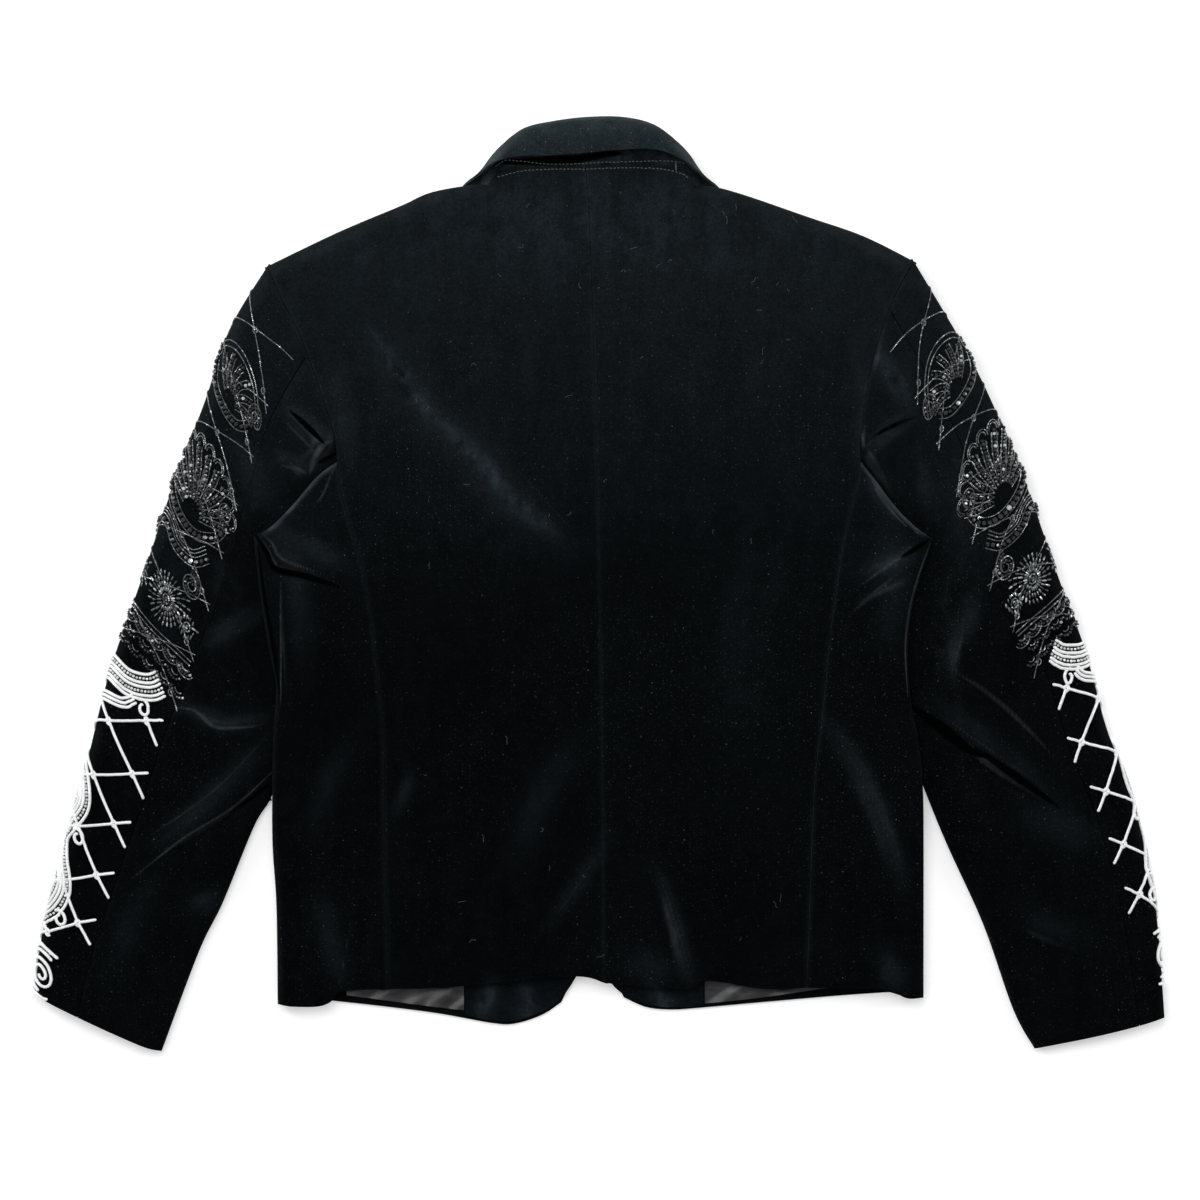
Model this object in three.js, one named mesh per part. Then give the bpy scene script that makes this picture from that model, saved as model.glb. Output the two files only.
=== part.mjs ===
// A velvet blazer lying face down on a table, so that its back is uppermost and its fronts lie on
// the table. Every cut piece is a thin wall of cloth: two back panels, two side panels that turn
// round the folded sides, two fronts, two-piece sleeves, a collar with its stand, lapels, the
// facings and linings that show inside the hem, the raised beadwork bands and the front button.
// Millimetres. +X is the wearer's right, +Y runs towards the collar, +Z is up, the table is z = 0.
import * as THREE from 'three';

// Driving sizes
const CLOTH = 2.0; // velvet with its backing
const LINING = 1.2; // lining or facing laid inside a front
const SEAM = 0.35; // space between two neighbouring pieces
const ARMHOLE_SEAM = 0.7; // space left by the sleeve beside the armhole
const LAID = 0.7; // space under a facing or lining laid on a front
const EDGE_INSET = 0.03; // how far a shoulder edge stops short of its fold line
const FOLD_ROUNDNESS = 1.05; // width of a fold's round, as a share of half the layers' height
const BUTTON = { x: 0, y: -50, radius: 11, height: 3 };

// Outlines of each half, as they lie. Each list runs from the neck or the armhole downwards.
const LEFT = {
  name: 'left',
  sign: -1,
  shoulder: [[-90, 319], [-104, 319], [-136, 313], [-158, 303], [-210, 281], [-266, 254]],
  neck: [[-12, 332], [-40, 332], [-66, 331], [-83, 326], [-90, 319]],
  armholeBack: [[-266, 254], [-254, 227], [-242, 204], [-232, 179], [-221, 147], [-213, 121], [-210, 98]],
  armholeHidden: [[-210, 98], [-211, 80], [-212, 62], [-212, 48]],
  armholeFront: [[-266, 254], [-251, 218], [-233, 170], [-220, 130], [-213, 100], [-211, 80], [-211, 62], [-212, 48]],
  sideSeam: [[-210, 98], [-207, 75], [-202, 55], [-192, 22], [-184, -18], [-180, -53], [-173, -123], [-172, -197], [-169, -324]],
  underarm: [[-277, 39], [-263, 46], [-245, 64], [-226, 86], [-210, 98]],
  bodyEdge: [[-277, 39], [-272, -5], [-265, -50], [-259, -81], [-261, -118], [-262, -160], [-262, -209], [-259, -258], [-258, -336]],
  frontSeam: [[-212, 48], [-221, 16], [-224, -24], [-222, -84], [-220, -150], [-217, -240], [-214, -334]],
  sleeveOuter: [[-266, 254], [-296, 204], [-316, 146], [-339, 86], [-364, 12], [-392, -69], [-410, -140], [-430, -216], [-446, -278], [-453, -326]],
  sleeveInner: [[-212, 48], [-224, 24], [-235, -4], [-240, -45], [-243, -93], [-252, -133], [-263, -170], [-277, -194], [-302, -255], [-321, -294], [-351, -374]],
  cuff: [[-453, -326], [-436, -338], [-372, -368], [-351, -374]],
  hemBack: [[3, -319], [-18, -314], [-74, -318], [-125, -323], [-169, -324]],
  hemSide: [[-258, -336], [-247, -338], [-226, -338], [-215, -334], [-208, -326], [-169, -324]],
  hemUnder: [[-258, -336], [-240, -337.5], [-214, -334]],
  hemFront: [[-31, -335], [-46, -345], [-67, -352], [-85, -352], [-130, -344], [-177, -338], [-214, -334]],
  frontEdge: [[-90, 319], [-75, 269], [-57, 207], [-39, 145], [-21, 83], [-3, 21], [13, -35], [17, -75], [16, -120], [11, -180], [3, -240], [-10, -290], [-31, -335]],
  facingEdge: [[-4, -284], [-12, -302], [-20, -316], [-32, -333], [-48, -343], [-67, -350]],
  facingSide: -108,
  facingHem: [[-67, -350], [-85, -350], [-108, -345.5]],
  liningHem: [[-109, -338], [-150, -334], [-203, -329]],
  innerTop: -284,
  roll: { top: [-87, 312], bottom: [16, -45] },
  lapel: { low: [13, -40], tip: [-144, 232], corner: [-109, 268.5], gorge: [-78, 283.5] },
  backSeam: 0.36,
};
const RIGHT = {
  name: 'right',
  sign: 1,
  shoulder: [[76, 318], [90, 318], [116, 311], [168, 293], [211, 278], [251, 258]],
  neck: [[-12, 332], [16, 333], [48, 333], [68, 328], [76, 318]],
  armholeBack: [[251, 258], [234, 227], [224, 199], [216, 171], [211, 142], [208, 115], [208, 98]],
  armholeHidden: [[208, 98], [208, 80], [208, 62], [208, 48]],
  armholeFront: [[251, 258], [237, 218], [224, 170], [214, 130], [209, 100], [207, 80], [207, 62], [208, 48]],
  sideSeam: [[208, 98], [206, 82], [201, 63], [194, 33], [189, -2], [183, -47], [178, -100], [172, -150], [169, -210], [165, -323]],
  underarm: [[266, 36], [252, 46], [236, 62], [221, 82], [208, 98]],
  bodyEdge: [[266, 36], [256, 5], [249, -22], [246, -53], [248, -90], [254, -123], [258, -160], [259, -213], [259, -331]],
  frontSeam: [[208, 48], [217, 16], [220, -24], [219, -84], [219, -150], [223, -240], [232, -327]],
  sleeveOuter: [[251, 258], [290, 192], [315, 142], [341, 79], [368, 2], [388, -52], [405, -114], [426, -172], [444, -253], [452, -347]],
  sleeveInner: [[208, 48], [219, 24], [229, -4], [234, -45], [238, -93], [248, -133], [260, -165], [278, -209], [307, -273], [331, -341], [348, -372]],
  cuff: [[452, -347], [430, -354], [393, -363], [348, -372]],
  hemBack: [[3, -319], [32, -322], [71, -324], [82, -318], [101, -319], [131, -324], [165, -323]],
  hemSide: [[259, -331], [246, -331.5], [236, -327], [225, -324], [165, -323]],
  hemUnder: [[259, -331], [248, -331.5], [232, -327]],
  hemFront: [[19, -331], [37, -339], [56, -341], [75, -340], [131, -335], [189, -330], [232, -327]],
  frontEdge: [[76, 318], [63, 269], [47, 207], [32, 145], [16, 83], [0, 21], [-13, -35], [-17, -75], [-15, -120], [-11, -180], [-6, -240], [1, -290], [19, -331]],
  facingEdge: [[1, -284], [3, -300], [8, -318], [20, -329.5], [38, -337], [56, -339]],
  facingSide: 83,
  facingHem: [[56, -339], [70, -338.5], [83, -337.5]],
  liningHem: [[84, -336], [131, -331], [205, -320]],
  innerTop: -284,
  roll: { top: [74, 312], bottom: [-16, -45] },
  lapel: { low: [1, 20], tip: [130, 232], corner: [96, 268.5], gorge: [66, 283.5] },
  backSeam: 0.2,
};

// How high the back lies over the table, at the middle of the back and out towards its sides.
const BACK_HEIGHT = [
  { y: 345, middle: 24, side: 28 },
  { y: 254, middle: 23, side: 30 },
  { y: 150, middle: 20, side: 28 },
  { y: 98, middle: 19, side: 26 },
  { y: 39, middle: 18.5, side: 24 },
  { y: -50, middle: 18, side: 22 },
  { y: -165, middle: 17, side: 21 },
  { y: -250, middle: 16.5, side: 18.5 },
  { y: -340, middle: 15, side: 17 },
];
const BACK_SIDE = { from: 50, to: 215 };

// How far the sleeve tucked under each side lifts the layers of the body above it.
const TUCK = [
  { y: 104, lift: 0, full: 205 },
  { y: 72, lift: 8, full: 205 },
  { y: 48, lift: 11.8, full: 207 },
  { y: 20, lift: 11, full: 216 },
  { y: 0, lift: 10.2, full: 224 },
  { y: -50, lift: 9.8, full: 231 },
  { y: -165, lift: 9.4, full: 236 },
  { y: -240, lift: 0, full: 236 },
];
const TUCK_SPREAD = 55;

// Height of the sleeve at its outer and inner sides, and where it is tucked under the body.
const SLEEVE_HEIGHT = [
  { y: 254, outer: 30, inner: 26, tucked: 14 },
  { y: 146, outer: 29, inner: 24, tucked: 14 },
  { y: 98, outer: 28, inner: 23, tucked: 13 },
  { y: 48, outer: 26, inner: 20, tucked: 10 },
  { y: 0, outer: 23, inner: 17, tucked: 9 },
  { y: -50, outer: 22, inner: 15, tucked: 8.8 },
  { y: -165, outer: 20, inner: 12, tucked: 8.4 },
  { y: -215, outer: 18, inner: 12, tucked: 10 },
  { y: -280, outer: 16, inner: 12, tucked: 12 },
  { y: -374, outer: 14, inner: 12, tucked: 12 },
];
const EMERGE = { from: 11, to: 34 };
const CAP_BLEND = { along: 0.16, from: 0.66, to: 0.78, cover: 0, clear: 12 };

// Largest folds of the body, each a ridge (rise above 0) or a trough along a path.
const BODY_FOLDS = [
  { path: [[-275, 36], [-257, 14], [-206, 1]], reach: 9, rise: -4.5 },
  { path: [[-262, 44], [-230, 22], [-205, 12]], reach: 10, rise: 3 },
  { path: [[-256, 4], [-254, -50], [-250, -110]], reach: 8, rise: -3 },
  { path: [[-204, 90], [-170, 60], [-140, 20]], reach: 16, rise: 2.5 },
  { path: [[-236, -210], [-206, -270], [-210, -330]], reach: 12, rise: 4 },
  { path: [[-222, -130], [-236, -200], [-240, -260]], reach: 14, rise: -2.5 },
  { path: [[-170, 190], [-90, 90], [-20, 30]], reach: 24, rise: 3.5 },
  { path: [[-24, -110], [-40, -150], [-50, -190]], reach: 18, rise: 3.5 },
  { path: [[-8, -180], [-10, -260], [-4, -316]], reach: 16, rise: 3.5 },
  { path: [[-110, -120], [-130, -220], [-120, -320]], reach: 22, rise: -2.5 },
  { path: [[60, -240], [68, -290], [76, -324]], reach: 9, rise: 5 },
  { path: [[34, -200], [42, -270], [46, -324]], reach: 14, rise: -2.5 },
  { path: [[110, -130], [120, -230], [118, -322]], reach: 20, rise: -2.5 },
  { path: [[250, 24], [222, 8], [196, -24]], reach: 12, rise: 3.5 },
  { path: [[254, 30], [244, 10], [238, -2]], reach: 8, rise: -4 },
  { path: [[182, -104], [206, -196], [228, -324]], reach: 14, rise: 4 },
  { path: [[232, -60], [238, -150], [242, -250]], reach: 12, rise: -3 },
  { path: [[224, 178], [204, 140], [150, 90]], reach: 18, rise: 2.5 },
];

// Largest folds of the sleeves.
const SLEEVE_FOLDS = [
  { path: [[-251, 136], [-219, 112]], reach: 8, rise: -5 },
  { path: [[-252, 96], [-233, 86]], reach: 8, rise: -4 },
  { path: [[-236, 124], [-214, 102]], reach: 9, rise: 3.5 },
  { path: [[-290, 150], [-262, 60], [-262, 40]], reach: 14, rise: 3 },
  { path: [[-343, -101], [-309, -113], [-267, -110]], reach: 11, rise: 4 },
  { path: [[-262, -128], [-323, -184], [-344, -202]], reach: 13, rise: 4 },
  { path: [[-262, -158], [-309, -186], [-370, -218]], reach: 9, rise: -4 },
  { path: [[-302, -253], [-328, -258]], reach: 10, rise: 3 },
  { path: [[250, -98], [282, -128], [306, -142], [360, -178]], reach: 9, rise: -6 },
  { path: [[276, -96], [320, -130], [372, -190]], reach: 15, rise: 4.5 },
  { path: [[293, -32], [285, -72]], reach: 12, rise: 3 },
  { path: [[234, 136], [246, 136], [225, 114], [212, 98]], reach: 8, rise: -4 },
  { path: [[238, 66], [252, 52], [262, 44]], reach: 9, rise: 2 },
  { path: [[342, -276], [380, -292]], reach: 12, rise: 2.5 },
];

// The right front lies over the left one's inner face where they are buttoned.
const UNDERLAP = [
  { y: 70, lift: 3 },
  { y: 30, lift: 6.8 },
  { y: -110, lift: 6.8 },
  { y: -165, lift: 3.6 },
  { y: -275, lift: 3.1 },
  { y: -335, lift: 0 },
];
const UNDERLAP_SIDE = { from: 28, to: 80 };

// Width of a lapel and its collar, across from the line it rolls on.
const LAPEL_WIDTH = [
  { y: 330, width: 40 },
  { y: 300, width: 52 },
  { y: 262, width: 70 },
  { y: 240, width: 85 },
  { y: 190, width: 81 },
  { y: 120, width: 67 },
  { y: 45, width: 43 },
  { y: -15, width: 20 },
  { y: -60, width: 0 },
];
const LAPEL_LIFT = 3.1;
const LAPEL_MARGIN = 9;
const LAPEL_FADE = 16;

// The collar from its left front end round the neck to its right one. The roll is the centre of
// the fold, the edge is the free edge of the fall, turn is the angle at which the fold starts.
const COLLAR = [
  { roll: [-81, 286, 2.4], edge: [-136, 259, 0.1], radius: 2.3, turn: 80 },
  { roll: [-86, 299, 2.5], edge: [-130, 282, 0.1], radius: 2.4, turn: 80 },
  { roll: [-91, 311, 3.2], edge: [-121, 302, 0.3], radius: 2.6, turn: 70 },
  { roll: [-94, 322, 6], edge: [-110, 319, 2.4], radius: 3, turn: 30 },
  { roll: [-91, 330, 14], edge: [-101, 326, 13], radius: 3.4, turn: 0 },
  { roll: [-86, 337, 22], edge: [-95, 329, 27], radius: 3.8, turn: -30 },
  { roll: [-76, 347, 28], edge: [-83, 337, 36], radius: 4.2, turn: -70 },
  { roll: [-60, 359.5, 30], edge: [-63, 342, 39], radius: 4.5, turn: -90 },
  { roll: [-36, 365, 31], edge: [-38, 343.5, 40], radius: 4.5, turn: -90 },
  { roll: [-10, 368, 32], edge: [-10, 345.5, 41], radius: 4.5, turn: -90 },
  { roll: [18, 368, 32], edge: [18, 347, 40], radius: 4.5, turn: -90 },
  { roll: [42, 362.5, 31], edge: [45, 346, 38], radius: 4.5, turn: -90 },
  { roll: [59, 350, 28], edge: [67, 338, 35], radius: 4.2, turn: -70 },
  { roll: [70, 339, 22], edge: [79, 329, 27], radius: 3.8, turn: -30 },
  { roll: [77, 329, 14], edge: [87, 324, 13], radius: 3.4, turn: 0 },
  { roll: [80, 321, 6], edge: [96, 317, 2.4], radius: 3, turn: 30 },
  { roll: [77, 311, 3.2], edge: [108, 301, 0.3], radius: 2.6, turn: 70 },
  { roll: [72, 299, 2.5], edge: [117, 282, 0.1], radius: 2.4, turn: 80 },
  { roll: [67, 286, 2.4], edge: [123, 259, 0.1], radius: 2.3, turn: 80 },
];
// The stand between the neck seam and the fold, along the back of the neck only.
const STAND = [
  { seam: [-76, 330.5, 23], top: [-73, 343, 24.5] },
  { seam: [-60, 333, 23.5], top: [-58, 356, 25.4] },
  { seam: [-36, 333.5, 23.8], top: [-36, 363, 26.1] },
  { seam: [-10, 333.5, 24], top: [-10, 366, 27] },
  { seam: [18, 334.2, 24], top: [18, 366, 27] },
  { seam: [42, 334.2, 23.8], top: [42, 360, 26.1] },
  { seam: [62, 331, 23.2], top: [57, 347, 24.5] },
];

// Raised bands of the sleeve's beadwork, each along a path given as shares of the sleeve's length
// and of its width from the outer fold, with half the band's own width as a share of the sleeve's.
const BAND = { rise: 1.6, clearance: 0.7 };
const BANDS = [
  {
    name: 'black_fan',
    finish: 'blackBeads',
    rows: [
      { down: 0.24, across: 0.1, half: 0.02 },
      { down: 0.255, across: 0.18, half: 0.03 },
      { down: 0.285, across: 0.24, half: 0.035 },
      { down: 0.32, across: 0.24, half: 0.03 },
      { down: 0.345, across: 0.17, half: 0.02 },
    ],
  },
  {
    name: 'white_crescent',
    finish: 'whiteBeads',
    rows: [
      { down: 0.56, across: 0.16, half: 0.02 },
      { down: 0.585, across: 0.27, half: 0.035 },
      { down: 0.625, across: 0.32, half: 0.045 },
      { down: 0.665, across: 0.27, half: 0.035 },
      { down: 0.69, across: 0.16, half: 0.02 },
    ],
  },
];

const clamp01 = (t) => Math.min(Math.max(t, 0), 1);
const smooth = (t) => clamp01(t) ** 2 * (3 - 2 * clamp01(t));
const ramp = (from, to, value) => smooth((value - from) / (to - from));
const mix = (a, b, t) => a + (b - a) * t;

// Reads one column of a table whose rows run down the garment.
function read(table, y, column) {
  const next = table.findIndex((row) => row.y <= y);
  if (next === 0) return table[0][column];
  if (next < 0) return table[table.length - 1][column];
  const above = table[next - 1];
  const below = table[next];
  return mix(above[column], below[column], (above.y - y) / (above.y - below.y));
}

// Distance from a point to a path, and how far along the path the nearest point lies.
function offPath(path, x, y) {
  let best = { distance: Infinity, along: 0 };
  const steps = path.length - 1;
  for (let i = 0; i < steps; i += 1) {
    const [ax, ay] = path[i];
    const dx = path[i + 1][0] - ax;
    const dy = path[i + 1][1] - ay;
    const t = clamp01(((x - ax) * dx + (y - ay) * dy) / (dx * dx + dy * dy));
    const distance = Math.hypot(x - ax - t * dx, y - ay - t * dy);
    if (distance < best.distance) best = { distance, along: (i + t) / steps };
  }
  return best;
}

// How far a point lies outside the body's side, below 0 where the body covers it.
function outside(sideLine, x, y) {
  const [first, last] = [sideLine[0], sideLine[sideLine.length - 1]];
  const ring = [...sideLine, [0, last[1]], [0, first[1]]];
  let covered = false;
  for (let i = 0, j = ring.length - 1; i < ring.length; j = i, i += 1) {
    const [[ax, ay], [bx, by]] = [ring[i], ring[j]];
    if (ay > y !== by > y && x < ax + ((bx - ax) * (y - ay)) / (by - ay)) covered = !covered;
  }
  const { distance } = offPath(sideLine, x, y);
  return covered ? -distance : distance;
}

// Sum of the ridges and troughs of a table of folds at one point.
function folds(table, x, y) {
  let rise = 0;
  for (const fold of table) {
    const { distance, along } = offPath(fold.path, x, y);
    rise += fold.rise * Math.exp(-((distance / fold.reach) ** 2)) * (0.3 + 0.7 * Math.sin(Math.PI * along));
  }
  return rise;
}

// A round that starts upright at a fold and is level once it is its full width away.
const round = (distance, width) => Math.sqrt(1 - (1 - clamp01(distance / width)) ** 2);

function backHeight(x, y) {
  const side = ramp(BACK_SIDE.from, BACK_SIDE.to, Math.abs(x));
  return mix(read(BACK_HEIGHT, y, 'middle'), read(BACK_HEIGHT, y, 'side'), side) + folds(BODY_FOLDS, x, y);
}

function tuckLift(x, y) {
  const full = read(TUCK, y, 'full');
  return read(TUCK, y, 'lift') * ramp(full - TUCK_SPREAD, full, Math.abs(x));
}

function lapelLift(side, x, y) {
  const { top, bottom } = side.roll;
  const rollX = mix(bottom[0], top[0], (y - bottom[1]) / (top[1] - bottom[1]));
  const width = read(LAPEL_WIDTH, y, 'width');
  const cover = 1 - ramp(width + LAPEL_MARGIN, width + LAPEL_MARGIN + LAPEL_FADE, (x - rollX) * side.sign);
  return LAPEL_LIFT * cover * ramp(-70, -56, y);
}

function frontLift(side, x, y) {
  const layers = [tuckLift(x, y), lapelLift(side, x, y)];
  if (side.sign < 0) {
    const reach = Math.hypot(x - BUTTON.x, y - BUTTON.y);
    layers.push((BUTTON.height + 0.6) * (1 - ramp(BUTTON.radius + 16, BUTTON.radius + 50, reach)));
  } else {
    layers.push(read(UNDERLAP, y, 'lift') * (1 - ramp(UNDERLAP_SIDE.from, UNDERLAP_SIDE.to, x)));
  }
  return Math.max(...layers);
}

// Height of the upper and lower outer surfaces, turned together at the folds that lie near.
function layer(upper, high, low, distances) {
  const half = (high - low) / 2;
  const turn = distances.reduce((share, d) => share * round(d, FOLD_ROUNDNESS * half), 1);
  const reach = SEAM / 2 + (half - SEAM / 2) * turn;
  return (high + low) / 2 + (upper ? reach : -reach);
}

const curve = (points) => new THREE.SplineCurve(points.map(([x, y]) => new THREE.Vector2(x, y)));

// One fine line through several outlines that end where the next begins, each drawn by itself.
function joined(...outlines) {
  const lines = outlines.map((points) => curve(points).getSpacedPoints(20).map((p) => [p.x, p.y]));
  return lines.flatMap((line, i) => (i === 0 ? line : line.slice(1)));
}

// A patch between four curves: u runs from the left curve to the right one, v from the top one down.
function patch(top, bottom, left, right) {
  const [t, b, l, r] = [top, bottom, left, right].map(curve);
  const corner = (line, at) => line.getPointAt(at);
  const [tl, tr, bl, br] = [corner(t, 0), corner(t, 1), corner(b, 0), corner(b, 1)];
  return (u, v) => {
    const across = t.getPointAt(u).multiplyScalar(1 - v).add(b.getPointAt(u).multiplyScalar(v));
    const down = l.getPointAt(v).multiplyScalar(1 - u).add(r.getPointAt(v).multiplyScalar(u));
    const shared = tl.clone().multiplyScalar((1 - u) * (1 - v)).addScaledVector(tr, u * (1 - v))
      .addScaledVector(bl, (1 - u) * v).addScaledVector(br, u * v);
    return across.add(down).sub(shared);
  };
}

const reversed = (points) => [...points].reverse();
const spread = (from, to, steps) => Array.from({ length: steps + 1 }, (_, i) => mix(from, to, i / steps));

// Steps from 0 to 1 that start fine, for a patch whose first edge is a fold.
function easedSteps(fine, reach, steps) {
  const start = Array.from({ length: fine }, (_, i) => reach * (1 - Math.cos((i * Math.PI) / (2 * fine))));
  return [...start, ...spread(reach, 1, steps - fine)];
}

// The surface's own direction, by small steps either side.
function normalAt(surface, a, v, range) {
  const step = 0.002;
  const at = (s, t) => surface(Math.min(Math.max(s, range[0]), range[1]), clamp01(t));
  const across = at(a + step, v).sub(at(a - step, v));
  const down = at(a, v + step).sub(at(a, v - step));
  return across.cross(down).normalize();
}

// Closes a grid of outer points and a grid of inner points into one solid.
function closedSolid(outer, inner) {
  const rows = outer.length;
  const columns = outer[0].length;
  const positions = [...outer.flat(), ...inner.flat()].flatMap((p) => [p.x, p.y, p.z]);
  const out = (i, j) => i * columns + j;
  const inn = (i, j) => rows * columns + i * columns + j;
  const faces = [];
  const quad = (a, b, c, d) => faces.push(a, b, c, a, c, d);
  for (let i = 0; i < rows - 1; i += 1) {
    for (let j = 0; j < columns - 1; j += 1) {
      quad(out(i, j), out(i + 1, j), out(i + 1, j + 1), out(i, j + 1));
      quad(inn(i, j), inn(i, j + 1), inn(i + 1, j + 1), inn(i + 1, j));
    }
  }
  for (let i = 0; i < rows - 1; i += 1) {
    quad(out(i, 0), inn(i, 0), inn(i + 1, 0), out(i + 1, 0));
    quad(out(i + 1, columns - 1), inn(i + 1, columns - 1), inn(i, columns - 1), out(i, columns - 1));
  }
  for (let j = 0; j < columns - 1; j += 1) {
    quad(out(0, j + 1), inn(0, j + 1), inn(0, j), out(0, j));
    quad(out(rows - 1, j), inn(rows - 1, j), inn(rows - 1, j + 1), out(rows - 1, j + 1));
  }
  const corner = (k) => new THREE.Vector3().fromArray(positions, 3 * k);
  let volume = 0;
  for (let k = 0; k < faces.length; k += 3) {
    volume += corner(faces[k]).dot(corner(faces[k + 1]).cross(corner(faces[k + 2])));
  }
  if (volume < 0) faces.reverse();
  const geometry = new THREE.BufferGeometry();
  geometry.setAttribute('position', new THREE.Float32BufferAttribute(positions, 3));
  geometry.setIndex(faces);
  geometry.computeVertexNormals();
  return geometry;
}

// A wall of cloth whose outer face is the surface. Facing is 1 or -1, for which way the surface's
// own direction has to be turned to point out of the garment. A wall that ends at a fold on its top
// side meets the wall below it with a level rim.
function wall(surface, across, down, facing, { thickness = CLOTH, range = [0, 1], foldAtTop = false } = {}) {
  const outer = across.map((a) => down.map((v) => surface(a, v)));
  const inner = across.map((a, i) => down.map((v, j) => {
    const normal = normalAt(surface, a, v, range);
    if (foldAtTop && j === 0 && Math.abs(normal.z) < 0.7) normal.setZ(0).normalize();
    return outer[i][j].clone().addScaledVector(normal, -thickness * facing);
  }));
  return closedSolid(outer, inner);
}

const FINISH = {
  velvet: { color: 0x0c1214, roughness: 0.95, metalness: 0 },
  lining: { color: 0x4b484c, roughness: 0.35, metalness: 0 },
  blackBeads: { color: 0x14181a, roughness: 0.25, metalness: 0.2 },
  whiteBeads: { color: 0xe6e8e8, roughness: 0.4, metalness: 0 },
  button: { color: 0x101314, roughness: 0.5, metalness: 0 },
};

function piece(name, geometry, finish) {
  const mesh = new THREE.Mesh(geometry, new THREE.MeshStandardMaterial(FINISH[finish]));
  mesh.name = name;
  return mesh;
}

// The line where the cloth turns over from back to front: the shoulder, then the sleeve's outer side.
const turningLine = (side) => joined(side.shoulder, side.sleeveOuter);

function backPanel(side) {
  const middle = [[-12, 332], [-8, 278], [-2, 67], [2, -173], [3, -319]];
  const top = joined(side.neck, side.shoulder);
  const plan = patch(top, side.hemBack, middle, joined(side.armholeBack, side.sideSeam));
  const line = turningLine(side);
  const surface = (u, v) => {
    const { x, y } = plan(u, v);
    return new THREE.Vector3(x, y, layer(true, backHeight(x, y), 0, [offPath(line, x, y).distance]));
  };
  const width = 190;
  const length = 600;
  const across = spread(SEAM / 2 / width, 1 - SEAM / width, 14);
  const down = easedSteps(4, 15 / length, 25).map((v) => mix(EDGE_INSET / length, 1, v));
  return wall(surface, across, down, -side.sign, { foldAtTop: true });
}

function frontPanel(side) {
  const outer = joined(side.armholeFront, side.frontSeam);
  const plan = patch(joined(side.shoulder), side.hemFront, side.frontEdge, outer);
  const line = turningLine(side);
  const surface = (u, v) => {
    const { x, y } = plan(u, v);
    const distance = offPath(line, x, y).distance;
    return new THREE.Vector3(x, y, layer(false, backHeight(x, y), frontLift(side, x, y), [distance]));
  };
  const width = 190;
  const length = 600;
  const across = spread(0, 1 - ARMHOLE_SEAM / width, 10);
  const down = easedSteps(4, 15 / length, 26).map((v) => mix(EDGE_INSET / length, 1, v));
  return wall(surface, across, down, side.sign, { foldAtTop: true });
}

// The side panel turns round the folded side: a below 0 is its upper layer, above 0 its lower one.
function sidePanel(side) {
  const upper = patch(side.underarm, side.hemSide, side.bodyEdge, side.sideSeam);
  const lower = patch([side.underarm[0], side.frontSeam[0]], side.hemUnder, side.bodyEdge, side.frontSeam);
  const fold = joined(side.bodyEdge);
  const surface = (a, v) => {
    const { x, y } = (a < 0 ? upper : lower)(a * a, v);
    const { distance } = offPath(fold, x, y);
    return new THREE.Vector3(x, y, layer(a < 0, backHeight(x, y), tuckLift(x, y), [distance]));
  };
  const across = [...spread(-1 + SEAM / 180, 0, 10), ...spread(0, 1 - SEAM / 45, 6).slice(1)];
  return wall(surface, across, spread(SEAM / 380, 1, 20), -side.sign, { range: [-1, 1] });
}

function sleeveSurface(side) {
  const armholeBack = joined(side.armholeBack, side.armholeHidden);
  const upper = patch(armholeBack, side.cuff, side.sleeveOuter, side.sleeveInner);
  const lower = patch(side.armholeFront, side.cuff, side.sleeveOuter, side.sleeveInner);
  const line = turningLine(side);
  const inner = joined(side.sleeveInner);
  const cover = joined(reversed(side.underarm), side.bodyEdge);
  return (a, v) => {
    const turned = a < 0 ? a + 2 : a;
    const onTop = turned <= 1;
    const u = (1 - Math.cos(Math.PI * turned)) / 2;
    const { x, y } = (onTop ? upper : lower)(u, v);
    const row = (column) => read(SLEEVE_HEIGHT, y, column);
    const free = mix(row('outer'), row('inner'), ramp(0.5, 1, u)) + folds(SLEEVE_FOLDS, x, y);
    const own = mix(row('tucked'), free, ramp(EMERGE.from, EMERGE.to, outside(cover, x, y)));
    const uncovered = ramp(CAP_BLEND.cover, CAP_BLEND.clear, outside(cover, x, y));
    const cap = (1 - ramp(0, CAP_BLEND.along, v)) * (1 - ramp(CAP_BLEND.from, CAP_BLEND.to, u));
    const high = mix(own, backHeight(x, y), cap * uncovered);
    const distances = [offPath(line, x, y).distance, offPath(inner, x, y).distance];
    return new THREE.Vector3(x, y, layer(onTop, high, 0, distances));
  };
}

const aroundAt = (u) => Math.acos(1 - 2 * u) / Math.PI;

// A raised band of beadwork, laid on the outside of a sleeve.
function raisedBand(side, band) {
  const surface = sleeveSurface(side);
  const path = new THREE.CatmullRomCurve3(band.rows.map((row) => new THREE.Vector3(row.across, row.down, row.half)));
  const at = (s, k, rise) => {
    const centre = path.getPoint(s);
    const lean = path.getTangent(s);
    const away = new THREE.Vector2(-lean.y, lean.x).normalize().multiplyScalar(centre.z * k);
    const a = aroundAt(centre.x + away.x * 1);
    const v = centre.y + away.y * 0.25;
    return surface(a, v).addScaledVector(normalAt(surface, a, v, [-2, 2]), rise * side.sign);
  };
  const [low, high] = [BAND.clearance, BAND.clearance + BAND.rise];
  const along = spread(0, 1, 10);
  const across = spread(-1, 1, 4);
  const outer = along.map((s) => across.map((k) => at(s, k, high - 0.8 * k * k)));
  const inner = along.map((s) => across.map((k) => at(s, k, low)));
  return closedSolid(outer, inner);
}

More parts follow.
